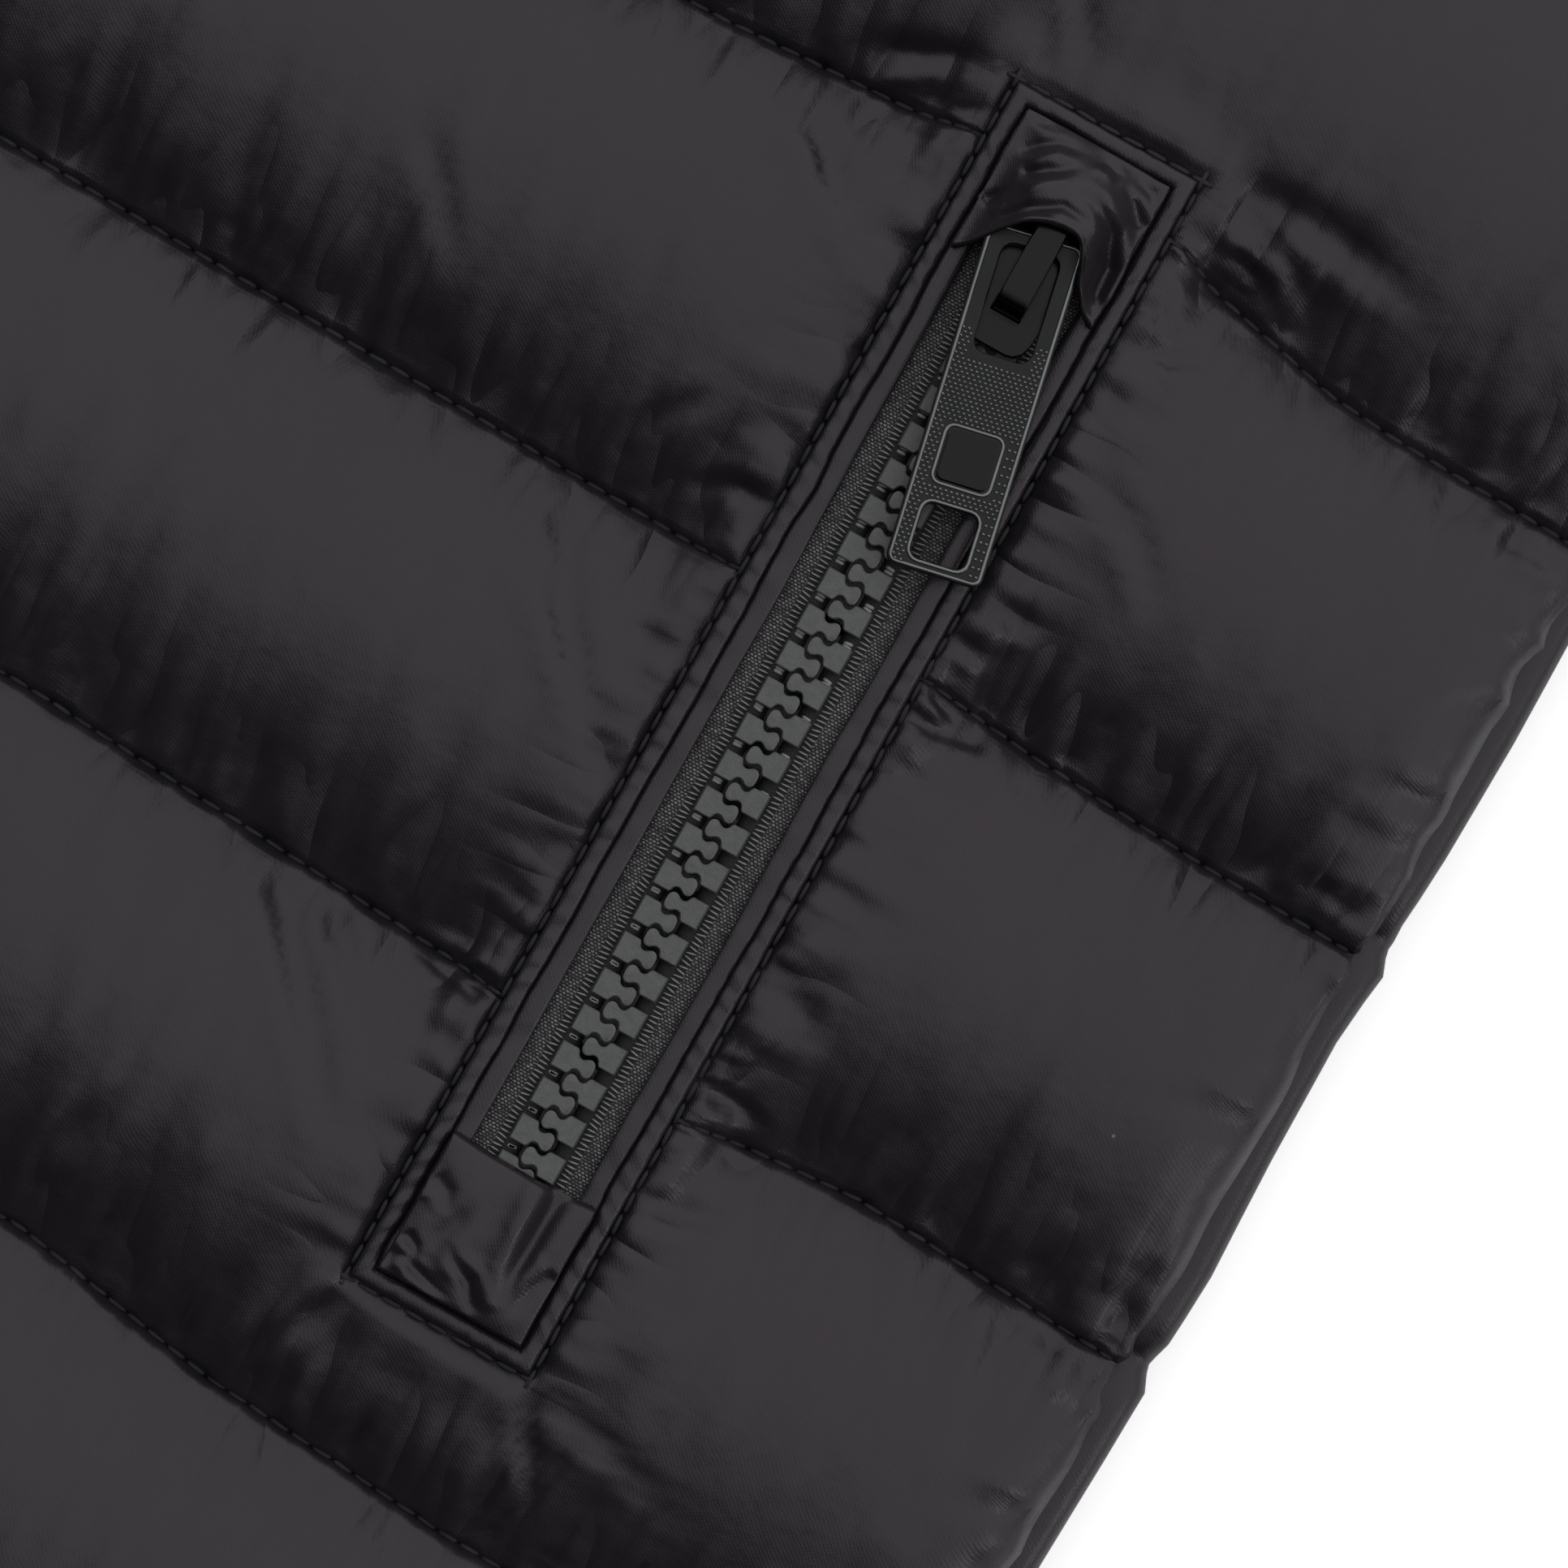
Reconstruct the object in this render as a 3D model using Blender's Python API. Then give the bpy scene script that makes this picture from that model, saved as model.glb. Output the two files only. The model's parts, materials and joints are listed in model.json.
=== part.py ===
"""A hooded puffer jacket, zipped up and laid flat on its back.

Sizes are in millimetres and are scaled to metres by MM. A point of the jacket is
(across, up, z): across from the middle of the front towards the wearer's left, up
from the hem, and z from the surface that the jacket lies on. Left and right are the
wearer's. Every padded piece has a plain inside and is raised on the outside.
"""

import math
from collections import namedtuple

import bmesh
import bpy
from mathutils import Matrix, Vector

MM = 0.001
GAP = 0.3  # between neighbouring pieces

# The whole jacket
LENGTH = 985.0  # from the hem to the crown of the hood
BACK_THICK = 10.0  # the layer that lies on the surface
FRONT_Z = BACK_THICK + GAP  # the plain inside of the layer that lies on it

# Padding and quilting
QUILT_PITCH = 48.5
FIRST_QUILT = 38.5  # the lowest seam, above the hem
SEAM_THICK = 3.0  # the wall where it is stitched through
PUFF = 10.5  # how far the padding rises above a seam
EDGE_ROUND = 14.0  # the padding rounds down to an edge within this
GATHER = 0.16  # share of the padding that the gathers beside a seam take away
ROW_SHARES = (0.0, 0.14, 0.36, 0.64, 0.86)  # rows of points in one baffle
EDGE_SHARES = (0.0, 0.14, 0.86)  # and along the edge of the layer underneath

# The body
ZIP_EDGE = 6.3  # from the middle to a front's zipped edge
SIDE = 270.0  # from the middle to the side seam
ARMPIT_UP = 430.0
SHOULDER = (226.0, 600.0)  # the tip of the shoulder, across and up
NECK_POINT = (97.0, 646.0)  # where the shoulder seam meets the neck
BACK_NECK_UP = 650.0
BACK_PEEK = 2.5  # the back stands out beside the side seam
NOTCH = 2.0  # an edge is drawn in this much at each quilting seam
NOTCHED_UP = 400.0  # the side seam is, up to here
COLLAR_TOP_UP = 655.0
HOOD_FOOT_UP = 656.0

# The sleeves
SLEEVE_TURN = math.radians(32)  # from straight down
SLEEVE_LENGTH = 470.0  # from the armpit to the cuff
SLEEVE_FIRST_QUILT = 42.0  # the seam nearest the cuff, above it
CUFF_WIDE, CUFF_HIGH, CUFF_LONG, CUFF_WALL = 104.0, 9.0, 20.0, 3.0

# A pocket, down from its upper end and across from its middle
POCKET_ACROSS = 207.6
POCKET_TOP_UP = 239.4
POCKET_LONG, POCKET_WIDE = 134.6, 20.2
POCKET_SLANT = math.radians(0.7)  # its foot leans towards the side seam
BED_Z = FRONT_Z + 7.0  # the stitched-down cloth under the pocket
BED_MARGIN = 1.6
BED_RISE = 8.5  # the padding rises to its full height within this
WELT_END = 4.1  # the width of the frame's rim and facing together

# Zips: heights above the cloth that the tape lies on
TAPE_WIDE, TAPE_FOOT, TAPE_TOP = 14.8, 0.3, 1.1
CHAIN_WIDE, CHAIN_TOP = 6.1, 2.4
SLIDER_FOOT, SLIDER_TOP = 2.7, 3.9
EYE_HIGH = 2.8  # the room between the slider's plate and its bridge
BRIDGE_WIDE, BRIDGE_THICK = 3.1, 1.7
BRIDGE_BACK, BRIDGE_FRONT = 3.5, 7.5  # from the hinge, up and down the zip
SLIDER_BACK, SLIDER_FRONT = 4.5, 11.0
SLIDER_WIDE, SLIDER_NOSE = 9.4, 7.0
HINGE_Z = SLIDER_TOP + EYE_HIGH / 2

# A pull tab, measured from its hinge down along the tab
PULL_WIDE, PULL_LONG, PULL_THICK = 9.8, 34.0, 1.6
PULL_HEAD = 0.8  # its crossbar above the hinge
SLOT_WIDE, SLOT_FROM, SLOT_TO = 5.9, 0.8, 11.8
HOLE_WIDE, HOLE_FROM, HOLE_TO = 5.6, 27.2, 32.8
PULL_TILT = math.radians(1.5)  # down towards the chain
POCKET_TWIST = math.radians(12)  # the tab hangs askew, towards the side seam
POCKET_HINGE = (0.9, 13.5)  # towards the middle, and down from the pocket's top
FRONT_HINGE_UP = 646.0

# Outlines, one row for a height above the hem
Span = namedtuple("Span", "up inner outer")
NECKLINE = [(572, ZIP_EDGE), (576, 30), (584, 52), (600, 74), (620, 88), (646, 94.5)]
FRONT = [
    Span(0.8, ZIP_EDGE, 266),
    Span(12, ZIP_EDGE, 269),
    Span(40, ZIP_EDGE, SIDE),
    Span(ARMPIT_UP, ZIP_EDGE, SIDE),
    Span(572, ZIP_EDGE, 233.2),
    Span(576, 30, 232.2),
    Span(584, 52, 230.1),
    Span(SHOULDER[1], 74, SHOULDER[0]),
    Span(620, 88, 169.9),
    Span(NECK_POINT[1], 94.5, NECK_POINT[0]),
]
HOOD = [
    Span(656, 60, 94),
    Span(672, 64, 106),
    Span(700, 71, 125),
    Span(740, 79, 144),
    Span(790, 84, 156),
    Span(830, 82, 157),
    Span(860, 73, 152),
    Span(882, 57, 143),
    Span(897, 34, 136),
    Span(906, GAP / 2, 131),
    Span(940, GAP / 2, 102),
    Span(965, GAP / 2, 68),
    Span(978, GAP / 2, 38),
    Span(983.5, GAP / 2, 12),
]
# The same for a sleeve, whose up is 0 at the armpit and falls towards the cuff
SLEEVE = [
    Span(-SLEEVE_LENGTH, 0.0, 116),
    Span(-330, 0.0, 138),
    Span(-200, 0.0, 158),
    Span(-86, 0.0, 168),
    Span(-29, 0.0, 165),
    Span(0, 0.0, 157),
    Span(33, 10.4, 148),
    Span(86, 27.1, 122),
    Span(130, 41.0, 91),
    Span(150, 47.3, 72),
    Span(167, 52.6, 54),
]

# Shares of a span where a piece has its columns of points
FRONT_COLUMNS = [
    (x - ZIP_EDGE) / (SIDE - ZIP_EDGE)
    for x in (6.3, 9, 15, 34, 56, 80, 104, 130, 156, 180, 187.5, 195.9, 219.3, 227.7, 240, 255, 262, 267, 270)
]
SLEEVE_COLUMNS = (0, 0.03, 0.09, 0.24, 0.42, 0.58, 0.76, 0.91, 0.97, 1)
HOOD_COLUMNS = (0, 0.06, 0.2, 0.5, 0.8, 0.94, 1)
COLLAR_COLUMNS = (0, 0.05, 0.16, 0.38, 0.62, 0.84, 0.95, 1)

Finish = namedtuple("Finish", "colour roughness metallic")
FINISHES = {
    "shell": Finish((0.036, 0.033, 0.037), 0.55, 0.0),
    "tape": Finish((0.022, 0.022, 0.024), 0.85, 0.0),
    "black_metal": Finish((0.012, 0.012, 0.013), 0.25, 0.0),
    "grey_metal": Finish((0.05, 0.052, 0.052), 0.4, 0.0),
}


# --- Small helpers -----------------------------------------------------------------


def clear_scene():
    for thing in list(bpy.data.objects):
        bpy.data.objects.remove(thing, do_unlink=True)


def new_collection(name):
    collection = bpy.data.collections.new(name)
    bpy.context.scene.collection.children.link(collection)
    return collection


def finish(obj, kind):
    """Give an object a material of its own."""
    look = FINISHES[kind]
    material = bpy.data.materials.new(obj.name)
    material.use_nodes = True
    shader = material.node_tree.nodes["Principled BSDF"]
    shader.inputs["Base Color"].default_value = (*look.colour, 1)
    shader.inputs["Roughness"].default_value = look.roughness
    shader.inputs["Metallic"].default_value = look.metallic
    obj.data.materials.append(material)


def add(name, data, parent, kind):
    """Put mesh or curve data in the jacket's collection, on its parent empty."""
    obj = bpy.data.objects.new(name, data)
    COLLECTION.objects.link(obj)
    obj.parent = parent
    finish(obj, kind)
    return obj


def empty(name, parent=None, at=(0, 0, 0), turn=0.0):
    guide = bpy.data.objects.new(name, None)
    COLLECTION.objects.link(guide)
    guide.parent = parent
    guide.location = Vector(at) * MM
    guide.rotation_euler = (0, 0, turn)
    return guide


def to_mesh(bm, name):
    bmesh.ops.recalc_face_normals(bm, faces=bm.faces)
    mesh = bpy.data.meshes.new(name)
    bm.to_mesh(mesh)
    bm.free()
    return mesh


def between(table, at, column):
    """A table's value at a height, straight between its rows."""
    rows = [(row[0], row[column]) for row in table]
    for (low, first), (high, last) in zip(rows, rows[1:]):
        if at <= high:
            share = max(0.0, (at - low) / (high - low))
            return first + share * (last - first)
    return rows[-1][1]


def ease(share):
    """From 0 to 1 with a soft start and end."""
    share = min(1.0, max(0.0, share))
    return share * share * (3 - 2 * share)


# --- Quilted walls -------------------------------------------------------------------


def seams(first, low, high):
    """The ends of a piece and the quilting seams between them."""
    count = int((high - first) / QUILT_PITCH) + 2
    lines = [first + k * QUILT_PITCH for k in range(-20, count)]
    return [low, *[y for y in lines if low + 6 < y < high - 6], high]


def rows_of(lines, extra=(), shares=ROW_SHARES):
    """Rows of points: a few in each baffle, and those that an outline needs."""
    rows = [
        low + share * (high - low)
        for low, high in zip(lines, lines[1:])
        for share in (shares if high - low > 15 else (0.0, 0.5))
    ]
    rows = [y for y in [*rows, lines[-1]] if all(abs(y - z) > 2.5 for z in extra)]
    return sorted([*rows, *extra])


def baffle(y, lines):
    """How full the padding is at a height: 0 on a seam, 1 in a baffle's middle."""
    for low, high in zip(lines, lines[1:]):
        if low <= y <= high:
            full = min(1.0, (high - low) / QUILT_PITCH)
            return full * max(0.0, math.sin(math.pi * (y - low) / (high - low))) ** 0.6
    return 0.0


def rounded(distance):
    """How full the padding is near an edge, as a quarter of an ellipse."""
    share = min(1.0, max(0.0, distance / EDGE_ROUND))
    return math.sqrt(1 - (1 - share) ** 2)


def padding(y, x, inner, outer, lines, column):
    """The height of a padded wall's outside above its inside."""
    full = baffle(y, lines)
    uneven = (1 + math.sin(1.7 * column + y / 11)) / 2
    gathered = 1 - GATHER * (column % 2) * uneven * 4 * full * (1 - full)
    edge = rounded(x - inner) * rounded(outer - x)
    return SEAM_THICK + PUFF * full * edge * gathered


def notch(y, lines):
    """How far an edge is drawn in where the quilting seams end."""
    nearest = min(abs(y - line) for line in lines[1:-1])
    return NOTCH * (1 - ease(nearest / 6.5))


def quilted(name, parent, table, columns, lines, side, shape=None, extra=(), notched_to=-1e3):
    """A quilted wall over a plain inside: a grid of rows along it and columns across.

    Its outer edge is drawn in at the seams, up to the height notched_to.
    """
    rows = rows_of(lines, extra)
    bm = bmesh.new()
    last_column, last_row = len(columns) - 1, len(rows) - 1
    bmesh.ops.create_grid(bm, x_segments=last_column, y_segments=last_row, size=1)
    for v in bm.verts:
        column = round((v.co.x + 1) / 2 * last_column)
        y = rows[round((v.co.y + 1) / 2 * last_row)]
        inner, outer = between(table, y, 1), between(table, y, 2)
        if y < notched_to:
            outer -= notch(y, lines)
        x = inner + columns[column] * (outer - inner)
        z = FRONT_Z + padding(y, x, inner, outer, lines, column)
        if shape:
            z = shape(x, y, z)
        v.co = Vector((side * x, y, z)) * MM
    rim = [edge for edge in bm.edges if edge.is_boundary]
    inside = bmesh.ops.extrude_edge_only(bm, edges=rim)["geom"]
    for part in inside:
        if isinstance(part, bmesh.types.BMVert):
            part.co.z = FRONT_Z * MM
    bmesh.ops.holes_fill(bm, edges=[e for e in bm.edges if e.is_boundary], sides=0)
    return add(name, to_mesh(bm, name), parent, "shell")


# --- The layer that lies on the surface --------------------------------------------------


def slab(name, parent, outline, side=1):
    """A padded layer with a flat foot and top and a rounded edge."""
    levels = ((0.0, 3.5), (2.4, 0.7), (6.0, 0.0), (BACK_THICK, 1.2))  # height, drawn in by
    points = [Vector((side * x, y)) for x, y in outline]
    count = len(points)
    bm = bmesh.new()
    loops = []
    for z, drawn_in in levels:
        loop = []
        for k, point in enumerate(points):
            along = (points[(k + 1) % count] - points[k - 1]).normalized()
            inwards = Vector((-along.y, along.x)) * side
            at = point + inwards * drawn_in
            loop.append(bm.verts.new(Vector((at.x, at.y, z)) * MM))
        loops.append(loop)
    for low, high in zip(loops, loops[1:]):
        for k in range(count):
            after = (k + 1) % count
            bm.faces.new((low[k], low[after], high[after], high[k]))
    bm.faces.new(loops[0])
    bm.faces.new(loops[-1])
    return add(name, to_mesh(bm, name), parent, "shell")


def back_outline():
    """Counter-clockwise from the hem's middle."""
    lines = seams(FIRST_QUILT, 0, NECK_POINT[1])
    corners = (ARMPIT_UP, SHOULDER[1])
    heights = [y for y in rows_of(lines, corners, EDGE_SHARES) if 15 < y < NECK_POINT[1] - 12]
    right = [(0, 0), (90, 0), (180, 0), (262, 0), (269, 5)]
    for y in heights:
        peek = BACK_PEEK * (1 - ease((y - 400) / 26)) if y < SHOULDER[1] else 0.8
        drawn = notch(y, lines) if y < NOTCHED_UP else 0.0
        right.append((between(FRONT, y, 2) + peek - drawn, y))
    right.append((NECK_POINT[0] + 1, NECK_POINT[1] + 1))
    right.append((90, BACK_NECK_UP))
    return right + [(-x, y) for x, y in reversed(right[1:])]


def hood_outline():
    """Counter-clockwise from the foot's middle."""
    heights = (668, 690, 715, 740, 765, 790, 810, 830, 850, 870, 888, 906, 922, 938, 952, 964, 974, 981)
    right = [(0, BACK_NECK_UP + 0.5), (88, BACK_NECK_UP + 0.5), (96, HOOD_FOOT_UP)]
    right += [(between(HOOD, y, 2) + 1.5, y) for y in heights]
    return right + [(0, LENGTH)] + [(-x, y) for x, y in reversed(right[1:])]


def sleeve_outline():
    """Counter-clockwise from the cuff's inner corner."""
    lines = seams(SLEEVE_FIRST_QUILT - SLEEVE_LENGTH, -SLEEVE_LENGTH, SLEEVE[-1].up)
    bends = [span.up for span in SLEEVE[1:-1]]
    heights = [y for y in rows_of(lines, bends, EDGE_SHARES) if y < SLEEVE[-1].up - 4]
    outer = [(between(SLEEVE, y, 2) + 0.8 - notch(y, lines), y) for y in heights]
    inner = [(between(SLEEVE, y, 1) + 0.7 * notch(y, lines) * (y < -20), y) for y in heights]
    return outer + list(reversed(inner))


# --- Body, sleeves, collar and hood ---------------------------------------------------


def pocket_bed(x, y, z):
    """The front's outside, stitched down level where its pocket lies."""
    beside = abs(x - POCKET_ACROSS) - POCKET_WIDE / 2 - BED_MARGIN
    middle = POCKET_TOP_UP - POCKET_LONG / 2
    beyond = abs(y - middle) - POCKET_LONG / 2 - BED_MARGIN
    away = math.hypot(max(0.0, beside), max(0.0, beyond))
    risen = ease(away / BED_RISE)
    return BED_Z * (1 - risen) + z * risen


def make_body(jacket):
    lines = seams(FIRST_QUILT, FRONT[0].up, NECK_POINT[1])
    ends = (POCKET_TOP_UP + BED_MARGIN, POCKET_TOP_UP - POCKET_LONG - BED_MARGIN)
    extra = (*ends, ends[0] + BED_RISE, ends[1] - BED_RISE, *[s.up for s in FRONT[4:9]])
    slab("back", jacket, back_outline())
    for word, side in SIDES:
        quilted(f"front_{word}", jacket, FRONT, FRONT_COLUMNS, lines, side, pocket_bed, extra, NOTCHED_UP)


def collar_span(y):
    """A collar half fills the neckline up to the hood's foot."""
    return Span(y, ZIP_EDGE, between(NECKLINE, y - 0.6, 1) - 0.3)


def make_collar_and_hood(jacket):
    heights = (573, 576.6, 584.6, 600.6, 620.6, 646.6, COLLAR_TOP_UP)
    table = [collar_span(y) for y in heights]
    collar_lines = [heights[0], 618.0, COLLAR_TOP_UP]
    hood_lines = seams(FIRST_QUILT, HOOD_FOOT_UP, HOOD[-1].up)
    slab("hood_under", jacket, hood_outline())
    for word, side in SIDES:
        quilted(f"collar_{word}", jacket, table, COLLAR_COLUMNS, collar_lines, side, extra=heights[1:4])
        face = [span.up for span in HOOD[7:10]]
        quilted(f"hood_{word}", jacket, HOOD, HOOD_COLUMNS, hood_lines, side, None, face, HOOD[-3].up)


def make_cuff(name, sleeve, side):
    """A flattened band that goes on from the sleeve's end."""
    outside = stadium(CUFF_WIDE, CUFF_HIGH, 3.0)
    inside = stadium(CUFF_WIDE - 2 * CUFF_WALL, CUFF_HIGH - 2 * CUFF_WALL, 1.2)
    cuff = flat_curve(name, sleeve, [outside, inside], CUFF_LONG / 2, "shell")
    middle = side * (SLEEVE[0].outer / 2)
    cuff.location = Vector((middle, -SLEEVE_LENGTH - GAP - CUFF_LONG / 2, CUFF_HIGH / 2)) * MM
    cuff.rotation_euler = (math.pi / 2, 0, 0)


def make_sleeves(jacket):
    lines = seams(SLEEVE_FIRST_QUILT - SLEEVE_LENGTH, -SLEEVE_LENGTH, SLEEVE[-1].up)
    extra = [span.up for span in SLEEVE[6:10]]
    for word, side in SIDES:
        at = (side * (SIDE + 0.5), ARMPIT_UP, 0)
        sleeve = empty(f"sleeve_{word}", jacket, at, side * SLEEVE_TURN)
        slab(f"sleeve_{word}_under", sleeve, sleeve_outline(), side)
        quilted(f"sleeve_{word}_top", sleeve, SLEEVE, SLEEVE_COLUMNS, lines, side, None, extra, SLEEVE[-3].up)
        make_cuff(f"cuff_{word}", sleeve, side)


# --- Flat outlines with holes -----------------------------------------------------------


def stadium(wide, high, radius, steps=3):
    """A box with round corners, centred, counter-clockwise."""
    points = []
    for k in range(4):
        middle_x = (wide / 2 - radius) * (1 if k in (0, 3) else -1)
        middle_y = (high / 2 - radius) * (1 if k < 2 else -1)
        for step in range(steps + 1):
            angle = math.pi / 2 * (k + step / steps)
            points.append((middle_x + radius * math.cos(angle), middle_y + radius * math.sin(angle)))
    return points


def flat_curve(name, parent, outlines, half_thick, kind):
    """A flat outline with holes, thickened to both sides."""
    curve = bpy.data.curves.new(name, "CURVE")
    curve.dimensions = "2D"
    curve.fill_mode = "BOTH"
    curve.extrude = half_thick * MM
    for outline in outlines:
        spline = curve.splines.new("POLY")
        spline.points.add(len(outline) - 1)
        for point, (x, y) in zip(spline.points, outline):
            point.co = (x * MM, y * MM, 0, 1)
        spline.use_cyclic_u = True
    return add(name, curve, parent, kind)


def curve_to_mesh(obj):
    """The same shape as a welded mesh object in the curve's place."""
    name, parent = obj.name, obj.parent
    bpy.context.view_layer.update()
    evaluated = obj.evaluated_get(bpy.context.evaluated_depsgraph_get())
    mesh = bpy.data.meshes.new_from_object(evaluated)
    bm = bmesh.new()
    bm.from_mesh(mesh)
    bmesh.ops.remove_doubles(bm, verts=bm.verts, dist=1e-5)
    bm.to_mesh(mesh)
    bm.free()
    solid = bpy.data.objects.new(name + "_solid", mesh)
    COLLECTION.objects.link(solid)
    solid.parent = parent
    solid.location = obj.location
    solid.rotation_euler = obj.rotation_euler
    bpy.data.objects.remove(obj, do_unlink=True)
    return solid


# --- Pockets ---------------------------------------------------------------------------


def make_welt(name, pocket, side):
    """The pocket's stitched frame: a raised rim, then a flat facing over the tapes."""
    profile = (  # from the frame's outside inwards, and above the bed
        (0.0, 0.3),
        (0.0, 1.9),
        (0.5, 2.8),
        (1.2, 3.1),
        (1.9, 2.7),
        (2.2, 2.1),
        (WELT_END, 2.2),
        (WELT_END, 1.4),
        (2.5, 1.4),
        (2.3, 0.3),
    )
    corners = ((-1, 0), (-1, -1), (1, -1), (1, 0))
    bm = bmesh.new()
    loops = []
    for across, down in corners:
        loop = []
        for inwards, high in profile:
            x = across * (POCKET_WIDE / 2 - inwards)
            y = -inwards if down == 0 else -POCKET_LONG + inwards
            loop.append(bm.verts.new(Vector((side * x, y, high)) * MM))
        loops.append(loop)
    for k, loop in enumerate(loops):
        after = loops[(k + 1) % len(loops)]
        for i in range(len(profile)):
            j = (i + 1) % len(profile)
            bm.faces.new((loop[i], loop[j], after[j], after[i]))
    return add(name, to_mesh(bm, name), pocket, "shell")


Zip = namedtuple("Zip", "tape_top tape_foot chain_top chain_foot")


def make_zip(name, parent, half_wide, ends):
    """The two tapes and the closed chain between them, as one stepped bar."""
    half_chain = CHAIN_WIDE / 2
    section = (
        (-half_wide, TAPE_FOOT),
        (half_wide, TAPE_FOOT),
        (half_wide, TAPE_TOP),
        (half_chain, TAPE_TOP),
        (half_chain, CHAIN_TOP),
        (-half_chain, CHAIN_TOP),
        (-half_chain, TAPE_TOP),
        (-half_wide, TAPE_TOP),
    )
    bm = bmesh.new()
    loops = []
    for end, chain_end in ((ends.tape_top, ends.chain_top), (ends.tape_foot, ends.chain_foot)):
        loop = []
        for x, z in section:
            y = chain_end if z == CHAIN_TOP else end
            loop.append(bm.verts.new(Vector((x, y, z)) * MM))
        loops.append(loop)
    for i in range(len(section)):
        j = (i + 1) % len(section)
        bm.faces.new((loops[0][i], loops[0][j], loops[1][j], loops[1][i]))
    for loop in loops:
        left, right = (loop[0], loop[7], loop[6]), (loop[3], loop[2], loop[1])
        bm.faces.new((*left, *right))
        bm.faces.new((loop[6], loop[5], loop[4], loop[3]))
    return add(name, to_mesh(bm, name), parent, "tape")


def make_slider(name, hinge):
    """The slider's upper plate with its bridge, cut as a staple and joined to it."""
    bm = bmesh.new()
    bmesh.ops.create_cube(bm, size=1)
    for v in bm.verts:
        front = v.co.y < 0
        wide = SLIDER_NOSE if front else SLIDER_WIDE
        y = -SLIDER_FRONT if front else SLIDER_BACK
        z = SLIDER_TOP if v.co.z > 0 else SLIDER_FOOT
        v.co = Vector((math.copysign(wide / 2, v.co.x), y, z - HINGE_Z)) * MM
    upright = [e for e in bm.edges if abs(e.verts[0].co.z - e.verts[1].co.z) > 0.5 * MM]
    bmesh.ops.bevel(bm, geom=upright, offset=1.6 * MM, segments=3, affect="EDGES", profile=0.5)
    plate = add(name, to_mesh(bm, name), hinge, "black_metal")

    sunk, leg = 0.6, 1.6
    foot, eye, top = SLIDER_TOP - sunk - HINGE_Z, EYE_HIGH / 2, EYE_HIGH / 2 + BRIDGE_THICK
    back, front = BRIDGE_BACK, -BRIDGE_FRONT
    staple = [
        (back, foot),
        (back, top - 1.5),
        (back - 0.5, top - 0.5),
        (back - 1.5, top),
        (front + 2.0, top),
        (front + 0.8, top - 0.5),
        (front, top - 1.8),
        (front, foot),
        (front + leg, foot),
        (front + leg, eye - 0.6),
        (front + leg + 0.6, eye),
        (back - leg - 0.5, eye),
        (back - leg, eye - 0.5),
        (back - leg, foot),
    ]
    bridge = flat_curve(name + "_bridge", hinge, [staple], BRIDGE_WIDE / 2, "black_metal")
    bridge.rotation_euler = (math.pi / 2, 0, math.pi / 2)
    bridge = curve_to_mesh(bridge)
    CUTTERS.objects.link(bridge)
    COLLECTION.objects.unlink(bridge)
    bridge.hide_render = True
    bridge.display_type = "WIRE"
    join = plate.modifiers.new("Bridge", "BOOLEAN")
    join.operation = "UNION"
    join.object = bridge
    return plate


def make_pull(name, hinge, twist):
    """The tab that hangs on the slider's bridge by its slot."""
    outline = stadium(PULL_WIDE, PULL_LONG + PULL_HEAD, 1.0)
    slot = stadium(SLOT_WIDE, SLOT_TO - SLOT_FROM, 1.2)
    hole = stadium(HOLE_WIDE, HOLE_TO - HOLE_FROM, 1.0)
    loops = [
        [(x, y - (PULL_LONG - PULL_HEAD) / 2) for x, y in outline],
        [(x, y - (SLOT_FROM + SLOT_TO) / 2) for x, y in slot],
        [(x, y - (HOLE_FROM + HOLE_TO) / 2) for x, y in hole],
    ]
    pull = flat_curve(name, hinge, loops, PULL_THICK / 2, "grey_metal")
    turned = Matrix.Rotation(twist, 4, "Z") @ Matrix.Rotation(PULL_TILT, 4, "X")
    pull.rotation_euler = turned.to_euler()
    return pull


def make_garage(name, pocket, side):
    """The gathered cloth that rises over the slider's head, open towards the foot."""
    edge = [  # across, and how far down the cloth reaches there
        (-7.5, 17.5),
        (-6.7, 16.4),
        (-6.2, 12.2),
        (-4.4, 11.9),
        (-2.4, 11.9),
        (0.0, 11.7),
        (2.2, 11.6),
        (4.0, 11.7),
        (5.6, 12.2),
        (6.6, 17.0),
        (7.5, 18.2),
    ]
    start, steps, wall = 2.6, 8, 1.0
    low, tall = 2.5, 6.4
    bm = bmesh.new()
    bmesh.ops.create_grid(bm, x_segments=len(edge) - 1, y_segments=steps, size=1)
    for v in bm.verts:
        across, down_to = edge[round((v.co.x + 1) / 2 * (len(edge) - 1))]
        down = start + (1 - v.co.y) / 2 * (down_to - start)
        ridge = math.cos(math.pi / 2 * min(1.0, max(0.0, abs(across) - 1.5) / 6.0)) ** 2
        climb = math.sin(math.pi / 2 * min(1.0, (down - 1) / 10))
        v.co = Vector((side * across, -down, low + tall * ridge * climb)) * MM
    faces = bmesh.ops.extrude_face_region(bm, geom=list(bm.faces))["geom"]
    outside = [part for part in faces if isinstance(part, bmesh.types.BMVert)]
    bmesh.ops.translate(bm, verts=outside, vec=(0, 0, wall * MM))
    return add(name, to_mesh(bm, name), pocket, "shell")


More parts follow.
